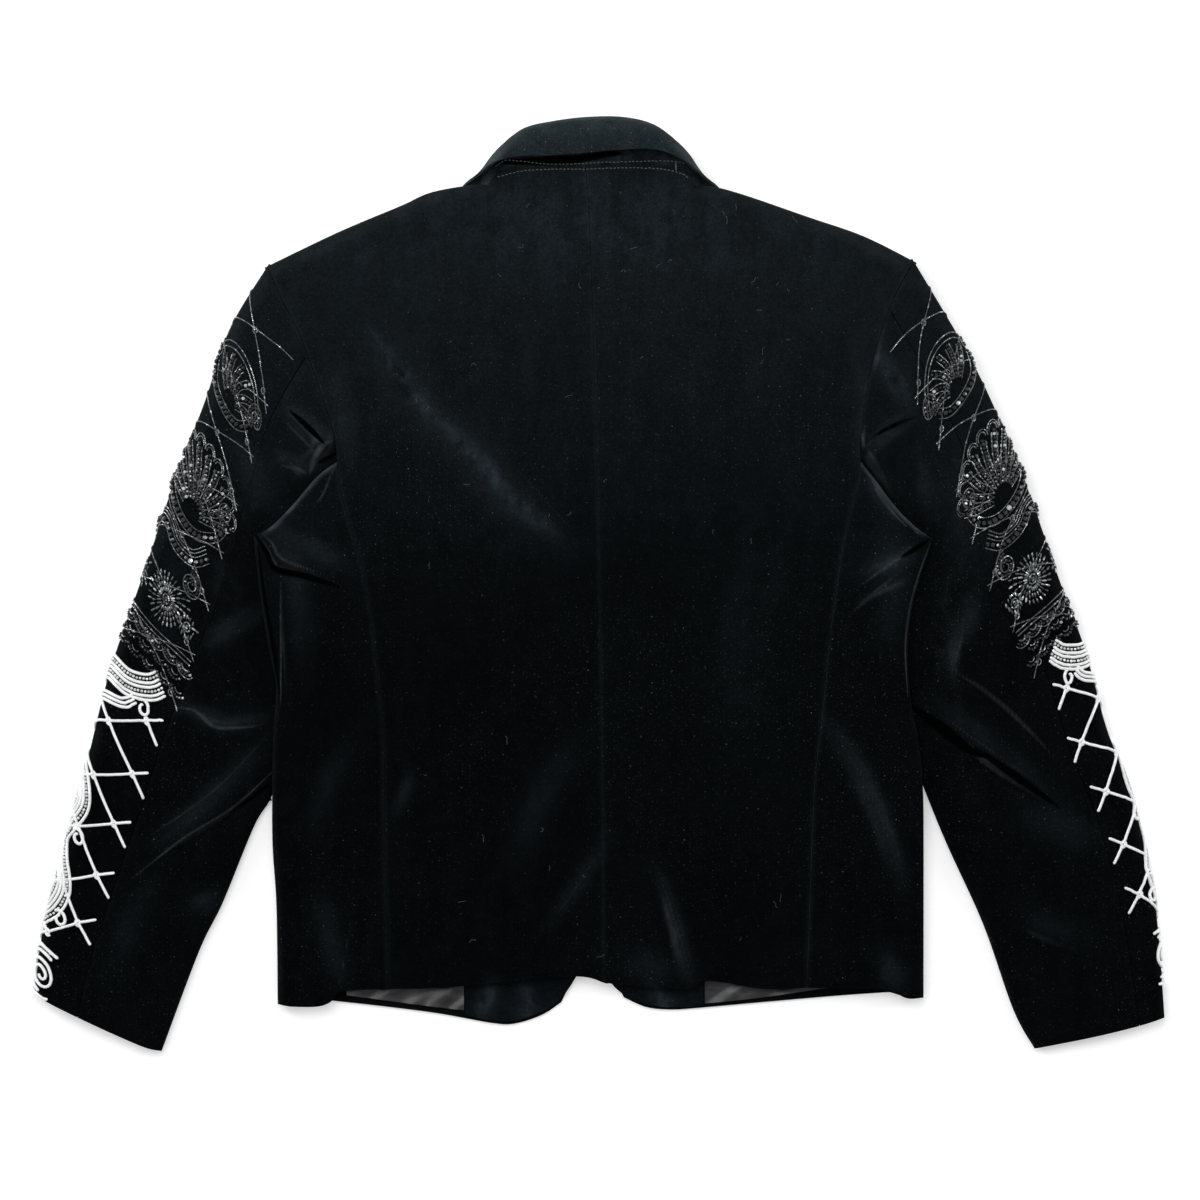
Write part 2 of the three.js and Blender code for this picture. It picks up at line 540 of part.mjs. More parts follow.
// The sleeve is cut in two pieces that meet along the back seam and the inner front seam.
function sleevePieces(side) {
  const surface = sleeveSurface(side);
  const back = aroundAt(side.backSeam);
  const front = 2 - aroundAt(0.84);
  const gap = SEAM / 2 / 110;
  const down = spread(ARMHOLE_SEAM / 600, 1, 26);
  const upper = wall(surface, spread(front - 2 + gap, back - gap, 13), down, side.sign, { range: [-2, 2] });
  const under = wall(surface, spread(back + gap, front - gap, 12), down, side.sign, { range: [-2, 2] });
  return { upper, under };
}

// A facing or lining strip laid on the inner face of a front, where it shows at the hem.
function innerStrip(side, top, bottom, left, right) {
  const plan = patch(top, bottom, left, right);
  const surface = (u, v) => {
    const { x, y } = plan(u, v);
    return new THREE.Vector3(x, y, frontLift(side, x, y) + CLOTH + LAID + LINING);
  };
  return wall(surface, spread(0, 1, 8), spread(0, 1, 5), -side.sign, { thickness: LINING });
}

function facing(side) {
  const { facingEdge, facingHem, facingSide, innerTop } = side;
  const end = facingHem[facingHem.length - 1];
  return innerStrip(side, [facingEdge[0], [facingSide, innerTop]], facingHem, facingEdge, [[facingSide, innerTop], end]);
}

function lining(side) {
  const { liningHem, innerTop } = side;
  const [start, end] = [liningHem[0], liningHem[liningHem.length - 1]];
  return innerStrip(side, [[start[0], innerTop], [end[0], innerTop]], liningHem, [[start[0], innerTop], start], [[end[0], innerTop], end]);
}

const vector = (values) => new THREE.Vector3().fromArray(values);
const through = (rows, column) => new THREE.CatmullRomCurve3(rows.map((row) => vector(row[column])));

// The fall of the collar: round the fold, then out to its free edge.
function collarFall() {
  const rolls = through(COLLAR, 'roll');
  const edges = through(COLLAR, 'edge');
  const last = COLLAR.length - 1;
  const between = (s, column) => {
    const at = clamp01(s) * last;
    const row = Math.min(Math.floor(at), last - 1);
    return mix(COLLAR[row][column], COLLAR[row + 1][column], at - row);
  };
  const surface = (b, s) => {
    const roll = rolls.getPoint(s);
    const edge = edges.getPoint(s);
    const outward = edge.clone().sub(roll).normalize();
    const along = rolls.getTangent(s);
    const away = outward.clone().cross(along).normalize();
    const radius = between(s, 'radius');
    const start = THREE.MathUtils.degToRad(between(s, 'turn'));
    const arcShare = 0.4;
    const angle = mix(start, Math.PI / 2, clamp01(b / arcShare));
    const onArc = roll.clone().addScaledVector(outward, -radius * Math.cos(angle)).addScaledVector(away, radius * Math.sin(angle));
    return b <= arcShare ? onArc : onArc.lerp(edge, (b - arcShare) / (1 - arcShare));
  };
  return wall(surface, [0, 0.1, 0.2, 0.3, 0.4, 0.7, 1], spread(0, 1, 36), 1);
}

function collarStand() {
  const seams = through(STAND, 'seam');
  const tops = through(STAND, 'top');
  const surface = (b, s) => seams.getPoint(s).lerp(tops.getPoint(s), b);
  return wall(surface, spread(0, 1, 3), spread(0, 1, 20), -1);
}

function lapel(side) {
  const { low, tip, corner, gorge } = side.lapel;
  const { top, bottom } = side.roll;
  const rollX = (y) => mix(bottom[0], top[0], (y - bottom[1]) / (top[1] - bottom[1]));
  const beyond = (y) => rollX(y) + side.sign * (read(LAPEL_WIDTH, y, 'width') - 2);
  const inner = [low, gorge];
  const lowOuter = [Math.abs(beyond(low[1]) - low[0]) > 3 ? beyond(low[1]) : low[0] + side.sign * 3, low[1]];
  const heights = [45, 90, 130, 180].filter((y) => y > low[1] + 10);
  const outer = [lowOuter, ...heights.map((y) => [beyond(y), y]), tip];
  const plan = patch([low, lowOuter], [gorge, corner, tip], inner, outer);
  const surface = (u, v) => {
    const { x, y } = plan(u, v);
    return new THREE.Vector3(x, y, CLOTH);
  };
  return wall(surface, spread(0, 1, 5), spread(0, 1, 10), side.sign);
}

function button() {
  const profile = [[0, 0], [8, 0], [10.2, 0.4], [11, 1.2], [11, 2], [9.5, 3], [0, 3]];
  const geometry = new THREE.LatheGeometry(profile.map(([r, z]) => new THREE.Vector2(r, z)), 16);
  geometry.rotateX(Math.PI / 2);
  return geometry;
}

function blazer() {
  const group = new THREE.Group();
  for (const side of [LEFT, RIGHT]) {
    const sleeve = sleevePieces(side);
    group.add(
      piece(`back_${side.name}`, backPanel(side), 'velvet'),
      piece(`side_${side.name}`, sidePanel(side), 'velvet'),
      piece(`front_${side.name}`, frontPanel(side), 'velvet'),
      piece(`upper_sleeve_${side.name}`, sleeve.upper, 'velvet'),
      piece(`under_sleeve_${side.name}`, sleeve.under, 'velvet'),
      piece(`facing_${side.name}`, facing(side), 'velvet'),
      piece(`lining_${side.name}`, lining(side), 'lining'),
      piece(`lapel_${side.name}`, lapel(side), 'velvet'),
    );
    for (const band of BANDS) {
      group.add(piece(`${band.name}_${side.name}`, raisedBand(side, band), band.finish));
    }
  }
  const fastening = piece('front_button', button(), 'button');
  fastening.position.set(BUTTON.x, BUTTON.y, 0);
  group.add(
    piece('collar_fall', collarFall(), 'velvet'),
    piece('collar_stand', collarStand(), 'velvet'),
    fastening,
  );
  return group;
}

// The middle of the whole outline, seen from above, is the origin.
const group = blazer();
const middle = new THREE.Box3().setFromObject(group, true).getCenter(new THREE.Vector3());
group.position.set(-middle.x, -middle.y, 0);
export default group;
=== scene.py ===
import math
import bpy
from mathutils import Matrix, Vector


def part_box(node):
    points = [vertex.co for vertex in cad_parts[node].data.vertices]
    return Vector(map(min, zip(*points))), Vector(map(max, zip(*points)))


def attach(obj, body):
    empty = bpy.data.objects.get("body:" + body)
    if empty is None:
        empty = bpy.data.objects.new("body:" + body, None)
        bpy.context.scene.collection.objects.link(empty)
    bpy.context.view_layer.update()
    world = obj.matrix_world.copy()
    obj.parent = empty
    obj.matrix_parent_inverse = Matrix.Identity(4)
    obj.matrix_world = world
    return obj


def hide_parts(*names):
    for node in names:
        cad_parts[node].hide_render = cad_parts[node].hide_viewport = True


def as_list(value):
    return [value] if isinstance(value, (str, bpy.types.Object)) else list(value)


bl_info = {
    "name": "Beaded velvet blazer",
    "version": (1, 0, 0),
    "blender": (4, 5, 0),
    "location": "View3D > Sidebar > Blazer",
    "description": "Dresses the packed blazer: velvet panels, collar, satin lining, stitching and beadwork",
    "category": "Object",
}

import bpy
import numpy as np
from mathutils import Vector

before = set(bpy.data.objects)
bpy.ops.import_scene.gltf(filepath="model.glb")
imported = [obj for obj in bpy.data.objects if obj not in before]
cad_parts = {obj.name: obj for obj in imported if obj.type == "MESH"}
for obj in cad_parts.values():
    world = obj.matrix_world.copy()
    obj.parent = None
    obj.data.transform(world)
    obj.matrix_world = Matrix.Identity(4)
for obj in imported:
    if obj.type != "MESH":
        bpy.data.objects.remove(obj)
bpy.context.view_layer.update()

MM = 0.001
ROOT = "root"
BUTTON = {"x": 0.0, "y": -50.0, "radius": 11.0, "height": 3.0}

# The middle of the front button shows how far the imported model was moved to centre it.
_low, _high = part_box("front_button")
SHIFT = np.array([(a + b) / 2 / MM - BUTTON[axis] for a, b, axis in zip(_low, _high, "xy")] + [0.0])


# Cut and lie of the cloth, in millimetres

def rows(columns, *values):
    """A short table with named columns, one row for each section."""
    return dict(zip(columns.split(), np.array(values, float).T))


HALVES = {
    "left": {
        "name": "left",
        "sign": -1,
        "shoulder": [(-90, 319), (-104, 319), (-136, 313), (-158, 303), (-210, 281), (-266, 254)],
        "neck": [(-12, 334.5), (-40, 334.5), (-66, 333), (-83, 327), (-90, 319)],
        "armhole_back": [
            (-266, 254), (-254, 227), (-242, 204), (-232, 179), (-221, 147), (-213, 121), (-210, 98),
        ],
        "armhole_hidden": [(-210, 98), (-211, 80), (-212, 62), (-212, 48)],
        "armhole_front": [
            (-266, 254), (-251, 218), (-233, 170), (-220, 130), (-213, 100), (-211, 80), (-211, 62),
            (-212, 48),
        ],
        "side_seam": [
            (-210, 98), (-207, 75), (-202, 55), (-192, 22), (-184, -18), (-180, -53), (-173, -123),
            (-172, -197), (-169, -324),
        ],
        "underarm": [(-277, 39), (-263, 46), (-245, 64), (-226, 86), (-210, 98)],
        "body_edge": [
            (-277, 39), (-272, -5), (-265, -50), (-259, -81), (-261, -118), (-262, -160), (-262, -209),
            (-259, -258), (-258, -336),
        ],
        "front_seam": [
            (-212, 48), (-221, 16), (-224, -24), (-222, -84), (-220, -150), (-217, -240), (-214, -334),
        ],
        "sleeve_outer": [
            (-266, 254), (-296, 204), (-316, 146), (-339, 86), (-364, 12), (-392, -69), (-410, -140),
            (-430, -216), (-446, -278), (-453, -326),
        ],
        "sleeve_inner": [
            (-212, 48), (-224, 24), (-235, -4), (-240, -45), (-243, -93), (-252, -133), (-263, -170),
            (-277, -194), (-302, -255), (-321, -294), (-351, -374),
        ],
        "cuff": [(-453, -326), (-436, -338), (-372, -368), (-351, -374)],
        "hem_back": [(3, -319), (-18, -314), (-74, -318), (-125, -323), (-169, -324)],
        "hem_side": [(-258, -336), (-247, -338), (-226, -338), (-215, -334), (-208, -326), (-169, -324)],
        "hem_under": [(-258, -336), (-240, -337.5), (-214, -334)],
        "hem_front": [
            (-31, -335), (-46, -345), (-67, -352), (-85, -352), (-130, -344), (-177, -338), (-214, -334),
        ],
        "front_edge": [
            (-90, 319), (-75, 269), (-57, 207), (-39, 145), (-21, 83), (-3, 21), (13, -35), (17, -75),
            (16, -120), (11, -180), (3, -240), (-10, -290), (-31, -335),
        ],
        "facing_edge": [(-4, -284), (-12, -302), (-20, -316), (-32, -333), (-48, -343), (-67, -350)],
        "facing_side": -108,
        "facing_hem": [(-67, -350), (-85, -350), (-108, -345.5)],
        "lining_hem": [(-109, -341.5), (-150, -336.5), (-203, -329.3)],
        "roll_top": (-87, 312),
        "roll_bottom": (16, -45),
        "lapel_low": (13, -40),
        "lapel_tip": (-144, 232),
        "lapel_corner": (-109, 268.5),
        "lapel_gorge": (-78, 283.5),
        "back_seam": 0.36,
    },
    "right": {
        "name": "right",
        "sign": 1,
        "shoulder": [(76, 318), (90, 318), (116, 311), (168, 293), (211, 278), (251, 258)],
        "neck": [(-12, 334.5), (16, 335.5), (48, 335), (68, 329), (76, 318)],
        "armhole_back": [(251, 258), (234, 227), (224, 199), (216, 171), (211, 142), (208, 115), (208, 98)],
        "armhole_hidden": [(208, 98), (208, 80), (208, 62), (208, 48)],
        "armhole_front": [
            (251, 258), (237, 218), (224, 170), (214, 130), (209, 100), (207, 80), (207, 62), (208, 48),
        ],
        "side_seam": [
            (208, 98), (206, 82), (201, 63), (194, 33), (189, -2), (183, -47), (178, -100), (172, -150),
            (169, -210), (165, -323),
        ],
        "underarm": [(266, 36), (252, 46), (236, 62), (221, 82), (208, 98)],
        "body_edge": [
            (266, 36), (256, 5), (249, -22), (246, -53), (248, -90), (254, -123), (258, -160), (259, -213),
            (259, -331),
        ],
        "front_seam": [(208, 48), (217, 16), (220, -24), (219, -84), (219, -150), (223, -240), (232, -327)],
        "sleeve_outer": [
            (251, 258), (290, 192), (315, 142), (341, 79), (368, 2), (388, -52), (405, -114), (426, -172),
            (444, -253), (452, -347),
        ],
        "sleeve_inner": [
            (208, 48), (219, 24), (229, -4), (234, -45), (238, -93), (248, -133), (260, -165), (278, -209),
            (307, -273), (331, -341), (348, -372),
        ],
        "cuff": [(452, -347), (430, -354), (393, -363), (348, -372)],
        "hem_back": [(3, -319), (32, -322), (71, -324), (82, -318), (101, -319), (131, -324), (165, -323)],
        "hem_side": [(259, -331), (246, -331.5), (236, -327), (225, -324), (165, -323)],
        "hem_under": [(259, -331), (248, -331.5), (232, -327)],
        "hem_front": [
            (19, -331), (37, -339), (56, -341), (75, -340), (131, -335), (189, -330), (232, -327),
        ],
        "front_edge": [
            (76, 318), (63, 269), (47, 207), (32, 145), (16, 83), (0, 21), (-13, -35), (-17, -75),
            (-15, -120), (-11, -180), (-6, -240), (1, -290), (19, -331),
        ],
        "facing_edge": [(1, -284), (3, -300), (8, -318), (20, -329.5), (38, -337), (56, -339)],
        "facing_side": 83,
        "facing_hem": [(56, -339), (70, -338.5), (83, -337.5)],
        "lining_hem": [(84, -336), (131, -331), (205, -320)],
        "roll_top": (74, 312),
        "roll_bottom": (-16, -45),
        "lapel_low": (1, 20),
        "lapel_tip": (130, 232),
        "lapel_corner": (96, 268.5),
        "lapel_gorge": (66, 283.5),
        "back_seam": 0.2,
    },
}
CENTRE_BACK = [(-12, 334.5), (-8, 278), (-2, 67), (2, -173), (3, -319)]
INNER_TOP = -284

# About how long and wide a back panel is, how wide a sleeve lies, and the share of that width at
# which its hidden front seam runs
LENGTH, WIDTH, SLEEVE_WIDTH, FRONT_SEAM = 600, 190, 130, 0.84
SIDE_LENGTH = 380
# Seams: the gap at the centre back and at the others, the allowance, and how far it is tucked under
CENTRE_GAP, SEAM_GAP, ALLOWANCE, TUCKED = 0.18, 0.35, 3.2, 2.5
# How far above the hem its turning shows, and half the gap between two faces at a fold
HEM_TURNING, HALF_GAP = 32, 0.17
# How far the pile is marked at seams and how wide, and the painted sheen that grows, more and more, towards
# the shoulders
SEAM_MARK, SEAM_MARK_WIDTH, SHOULDER_SHEEN_PAINTED = 0.2, 1.6, 0.33

BACK_HEIGHT = rows(
    "y middle side",
    (345, 24, 28), (254, 23, 30), (150, 20, 28), (98, 19, 26), (39, 18.5, 24),
    (-50, 18, 22), (-165, 17, 21), (-250, 16.5, 18.5), (-340, 15, 17),
)
TUCK = rows(
    "y lift full",
    (104, 0, 205), (72, 8, 205), (48, 11.8, 207), (20, 11, 216), (0, 10.2, 224),
    (-50, 9.8, 231), (-165, 9.4, 236), (-240, 0, 236),
)
SLEEVE_HEIGHT = rows(
    "y outer inner tucked",
    (254, 30, 26, 14), (146, 29, 24, 14), (98, 28, 23, 13), (48, 26, 20, 10), (0, 23, 17, 9),
    (-50, 22, 15, 8.8), (-165, 20, 12, 8.4), (-215, 18, 12, 10), (-280, 16, 12, 12), (-374, 14, 12, 12),
)
UNDERLAP = rows("y lift", (70, 3), (30, 6.8), (-110, 6.8), (-165, 3.6), (-275, 3.1), (-335, 0))
LAPEL_WIDTH = rows(
    "y width",
    (330, 40), (300, 52), (262, 70), (240, 85), (190, 81), (120, 67), (45, 43), (-15, 20), (-60, 0),
)
LAPEL_LIFT = 3.1

# The collar, from its left front end round the neck to the right one: the fold's centre, the free
# edge of the fall, the fold's radius, and the angle in degrees at which the cloth starts round it.
COLLAR = rows(
    "roll_x roll_y roll_z edge_x edge_y edge_z radius turn",
    (-81, 286, 2.4, -136, 259, 0.1, 2.3, 80),
    (-86, 299, 2.5, -130, 282, 0.1, 2.4, 80),
    (-91, 311, 3.2, -121, 302, 0.3, 2.6, 70),
    (-94, 322, 6, -110, 319, 2.4, 3, 30),
    (-91, 330, 14, -101, 326, 13, 3.4, 0),
    (-86, 337, 22, -95, 329, 27, 3.8, -30),
    (-76, 347, 28, -83, 337, 36, 4.2, -70),
    (-60, 359.5, 30, -63, 341, 38, 4.5, -90),
    (-36, 365, 31, -38, 341.5, 40, 4.5, -90),
    (-10, 368, 32, -10, 343.5, 41, 4.5, -90),
    (18, 368, 32, 18, 346, 40, 4.5, -90),
    (42, 362.5, 31, 45, 346, 38, 4.5, -90),
    (59, 350, 28, 67, 338, 35, 4.2, -70),
    (70, 339, 22, 79, 329, 27, 3.8, -30),
    (77, 329, 14, 87, 324, 13, 3.4, 0),
    (80, 321, 6, 96, 317, 2.4, 3, 30),
    (77, 311, 3.2, 108, 301, 0.3, 2.6, 70),
    (72, 299, 2.5, 117, 282, 0.1, 2.4, 80),
    (67, 286, 2.4, 123, 259, 0.1, 2.3, 80),
)
STAND = rows(
    "seam_x seam_y seam_z top_x top_y top_z",
    (-92, 316, 9, -96, 320, 6.5),
    (-88, 319.5, 14, -93, 330, 12.5),
    (-81, 324.5, 18.5, -86, 338.5, 20),
    (-71, 328, 20.3, -75, 348, 26),
    (-60, 330.5, 21, -58, 356, 25.4),
    (-36, 331.5, 21.2, -36, 363, 26.1),
    (-10, 331.5, 21.3, -10, 366, 27),
    (18, 332, 21.3, 18, 366, 27),
    (42, 331.5, 21.2, 42, 360, 26.1),
    (57, 329, 20.6, 58, 350.5, 26),
    (67, 324.5, 18.5, 71, 340.5, 20),
    (75, 319.5, 14, 79, 330, 12.5),
    (79, 316, 9, 82, 320, 6.5),
)

# The topstitching at the neck: the upper row on the stand, the lower one on the back, its pitch
UPPER_STITCHES = rows(
    "x y",
    (-86, 338), (-77, 339), (-62, 337.4), (-46, 335.6), (-26, 335.2), (0, 336.6), (26, 337.4),
    (52, 338), (72, 336),
)
LOWER_STITCHES = [
    (-82, 325), (-62, 329.6), (-38, 331.2), (-12, 331.2), (16, 332.2), (46, 331.6), (64, 328), (72, 323),
]
STITCH_PITCH = 3.1

# Folds along paths, as height, reach to the left and reach to the right. A ridge stands above 0 and a
# trough below it. A ledge drops from its left side to its right one.
BODY_FOLDS = [
    ("ledge", 3.6, 12, 9, [(-274, 39), (-267, 30), (-261, 17), (-256, 12), (-227, 6), (-203, -4)]),
    ("ledge", 1.2, 7, 7, [(-254, 8), (-255, -20), (-253, -52), (-250, -100)]),
    ("ridge", 2.2, 9, 5, [(-262, 48), (-240, 30), (-216, 22)]),
    ("ridge", 1.8, 4, 5, [(-247, 66), (-236, 52), (-220, 44), (-205, 46)]),
    ("trough", -1.8, 6, 12, [(-248, -4), (-224, -12), (-196, -14)]),
    ("ridge", 2.2, 14, 18, [(-204, 90), (-170, 60), (-140, 20)]),
    ("ridge", 2.6, 20, 11, [(-184, 219), (-160, 183), (-136, 147)]),
    ("trough", -1.8, 14, 14, [(-204, 190), (-176, 150), (-160, 110)]),
    ("ridge", 3.2, 22, 11, [(-110, 113), (-70, 75), (-28, 37)]),
    ("trough", -2, 14, 18, [(-120, 84), (-90, 50), (-60, 24)]),
    ("ridge", 1.3, 9, 10, [(-16, -120), (-50, -176), (-66, -222)]),
    ("ridge", 1.2, 7, 8, [(8, -200), (-20, -244), (-42, -274)]),
    ("trough", -2, 12, 12, [(-74, -230), (-66, -270), (-60, -318)]),
    ("trough", -2.2, 22, 18, [(-110, -120), (-130, -220), (-120, -320)]),
    ("ridge", 1.1, 12, 8, [(-200, -125), (-218, -160), (-232, -197)]),
    ("ledge", 1.2, 7, 10, [(-196, -262), (-203, -298), (-209, -334)]),
    ("trough", -2, 7, 7, [(-184, -250), (-190, -290), (-194, -326)]),
    ("trough", -1.8, 10, 10, [(-236, -220), (-240, -270), (-238, -330)]),
    ("ridge", 2.6, 4, 6, [(43, -220), (62, -276), (76, -324)]),
    ("trough", -2.4, 8, 8, [(46, -236), (54, -280), (60, -322)]),
    ("trough", -1.6, 14, 14, [(34, -180), (28, -250), (30, -320)]),
    ("trough", -2.2, 20, 20, [(110, -130), (120, -230), (118, -322)]),
    ("trough", -1.6, 26, 26, [(70, 210), (120, 150), (150, 70)]),
    ("ridge", 1.5, 24, 24, [(60, 120), (70, 20), (66, -90)]),
    ("ledge", 3, 8, 8, [(246, -8), (251, 11), (254, 27), (266, 36)]),
    ("ridge", 3, 7, 5, [(254, 28), (240, 18), (224, 10), (205, 2)]),
    ("ridge", 2.4, 9, 5, [(250, -2), (226, -9), (198, -27)]),
    ("trough", -2.2, 5, 6, [(252, 12), (230, 0), (206, -12)]),
    ("ridge", 2.4, 5, 4, [(212, 92), (224, 72), (240, 52), (256, 38)]),
    ("ridge", 2.8, 5, 8, [(183, -112), (208, -152), (223, -184), (244, -244)]),
    ("trough", -1.4, 9, 9, [(196, -140), (222, -220), (238, -310)]),
    ("trough", -1.8, 12, 12, [(232, -60), (238, -150), (242, -250)]),
    ("ridge", 2, 12, 16, [(224, 182), (206, 140), (176, 100)]),
    ("trough", -1.4, 22, 22, [(30, 300), (90, 270), (170, 262)]),
]
SLEEVE_FOLDS = [
    ("ledge", 3.4, 10, 6, [(-252, 139), (-240, 129), (-228, 118), (-217, 110)]),
    ("ridge", 1.6, 7, 4, [(-248, 156), (-232, 142), (-217, 130)]),
    ("ridge", 3.2, 3.5, 4, [(-229, 108), (-224, 113), (-217, 113), (-212, 106)]),
    ("ridge", 2.8, 4, 3.5, [(-240, 96), (-230, 103), (-221, 102), (-214, 96)]),
    ("ledge", 2.4, 6, 6, [(-264, 104), (-250, 96), (-238, 88), (-228, 88)]),
    ("ridge", 2, 12, 12, [(-284, 150), (-278, 100), (-286, 50)]),
    ("ridge", 2.4, 7, 8, [(-300, 96), (-284, 66), (-276, 30)]),
    ("ridge", 2.2, 4, 7, [(-343, -101), (-326, -106), (-309, -113), (-288, -114), (-262, -108)]),
    ("ledge", 2.2, 7, 5, [(-342, -211), (-310, -192), (-285, -174), (-262, -158)]),
    ("ridge", 0.9, 6, 6, [(-364, -204), (-334, -184), (-303, -160), (-268, -124)]),
    ("ridge", 1.1, 6, 6, [(-276, -186), (-300, -204), (-350, -232)]),
    ("ledge", 1.8, 6, 5, [(-330, -260), (-316, -257), (-303, -252)]),
    ("ridge", 1.6, 14, 14, [(-300, 20), (-318, -20), (-330, -60)]),
    ("trough", -1.8, 12, 12, [(-280, -10), (-300, -50), (-304, -84)]),
    ("ledge", 1.8, 12, 8, [(-318, -52), (-296, -36), (-270, -18)]),
    ("trough", -1.6, 12, 12, [(-382, -250), (-376, -300), (-380, -350)]),
    ("ridge", 3.2, 7, 6, [(222, 184), (234, 164), (246, 142)]),
    ("ledge", -2.8, 7, 9, [(254, 136), (238, 130), (222, 122), (213, 110), (210, 97)]),
    ("ridge", 2.6, 5, 5, [(244, 118), (230, 110), (220, 98)]),
    ("ridge", 1.8, 12, 12, [(262, 120), (268, 80), (282, 50)]),
    ("ledge", 3.6, 11, 8, [(250, -97), (279, -119), (302, -137), (318, -150), (337, -162), (362, -176)]),
    ("ridge", 1.0, 10, 8, [(262, -84), (290, -104), (320, -122), (374, -160)]),
    ("ridge", 1.0, 8, 10, [(258, -132), (286, -158), (330, -190)]),
    ("ridge", 2.4, 8, 8, [(294, -32), (290, -52), (284, -74)]),
    ("ridge", 2.2, 12, 12, [(346, -182), (372, -194), (400, -206)]),
    ("ledge", 1.8, 8, 10, [(338, -276), (360, -286), (384, -293)]),
    ("trough", -1.6, 14, 14, [(300, 40), (316, 0), (330, -40)]),
    ("trough", -1.6, 14, 14, [(366, -230), (376, -280), (372, -340)]),
]
# Painted shade in the hollows of folds and painted highlights on their ridges, as half width, strength and
# path.
BODY_PAINTED_SHADE = [
    (3.8, 1, [(-275, 39), (-266, 25), (-259, 12), (-234, 6), (-200, -5)]),
    (3.0, 0.8, [(-273, 30), (-268, -10), (-261, -50), (-256, -88)]),
    (3.4, 0.9, [(262, 35), (250, 27), (240, 21)]),
]
BODY_PAINTED_HIGHLIGHTS = [
    (2.8, 0.5, [(-255, 8), (-255, -45), (-255, -98)]),
    (5.0, 0.8, [(-275, 42), (-262, 47), (-246, 63), (-231, 82), (-214, 95)]),
    (3.2, 0.65, [(-272, 42), (-262, 33), (-255, 21), (-236, 13), (-214, 6)]),
    (3.2, 0.5, [(-231, 60), (-222, 70), (-216, 84), (-212, 93)]),
    (4.8, 0.9, [(214, 96), (220, 82), (232, 66), (253, 45), (266, 37)]),
    (3.0, 0.6, [(216, 84), (226, 66), (244, 46)]),
    (2.8, 0.55, [(264, 33), (254, 5), (247, -22), (244, -53), (246, -90)]),
    (5.5, 0.45, [(256, 30), (238, 20), (204, -4)]),
    (6.0, 0.4, [(238, 8), (220, -6), (198, -26)]),
    (4.0, 0.35, [(-78, 104), (-50, 74), (-18, 38)]),
    (3.4, 0.38, [(44, -222), (62, -276), (75, -322)]),
    (3.4, 0.34, [(184, -114), (208, -152), (224, -186), (242, -238)]),
    (3.2, 0.3, [(6, -204), (-20, -244), (-40, -272)]),
    (3.0, 0.4, [(-198, -262), (-204, -297), (-211, -331)]),
]
SLEEVE_PAINTED_SHADE = [
    (3.4, 1, [(-247, 138), (-235, 127), (-220, 112)]),
    (3.2, 0.8, [(-226, 96), (-219, 100), (-211, 104)]),
    (6.5, 1, [(248, -97), (272, -114), (296, -133), (309, -138)]),
    (4.4, 1, [(300, -131), (330, -152), (366, -178)]),
    (3.0, 0.8, [(-296, -183), (-280, -172), (-262, -158)]),
    (3.8, 0.75, [(256, 135), (238, 128), (222, 120), (212, 112)]),
]
SLEEVE_PAINTED_HIGHLIGHTS = [
    (5.0, 0.52, [(-341, -99), (-324, -101), (-308, -114), (-290, -115), (-270, -113)]),
    (5.0, 0.34, [(-267, -122), (-303, -160), (-334, -184), (-364, -204)]),
    (3.4, 0.55, [(-262, -150), (-294, -179), (-334, -204), (-376, -237)]),
    (3.0, 0.45, [(252, -91), (276, -107), (302, -126), (334, -148), (370, -174)]),
    (9.0, 0.36, [(280, -68), (311, -88), (340, -114), (362, -138)]),
    (5.0, 0.8, [(-232, 87), (-228, 100), (-222, 110), (-212, 115)]),
    (4.6, 0.65, [(-254, 95), (-243, 92), (-232, 87)]),
    (6.0, 0.36, [(-252, 130), (-240, 118), (-226, 104)]),
    (3.8, 0.45, [(262, 141), (240, 134), (222, 126), (213, 119)]),
    (3.0, 0.35, [(-280, 66), (-272, 50), (-262, 50)]),
    (7.0, 0.34, [(272, 102), (300, 94), (328, 82)]),
    (8.0, 0.34, [(290, -36), (286, -54), (280, -72)]),
]
# Painted shade on the stand, under the edge of the fall
STAND_PAINTED_SHADE = [
    (5.0, 1, [(-88, 337), (-55, 337.5), (-22, 339), (6, 343), (26, 346)]),
]
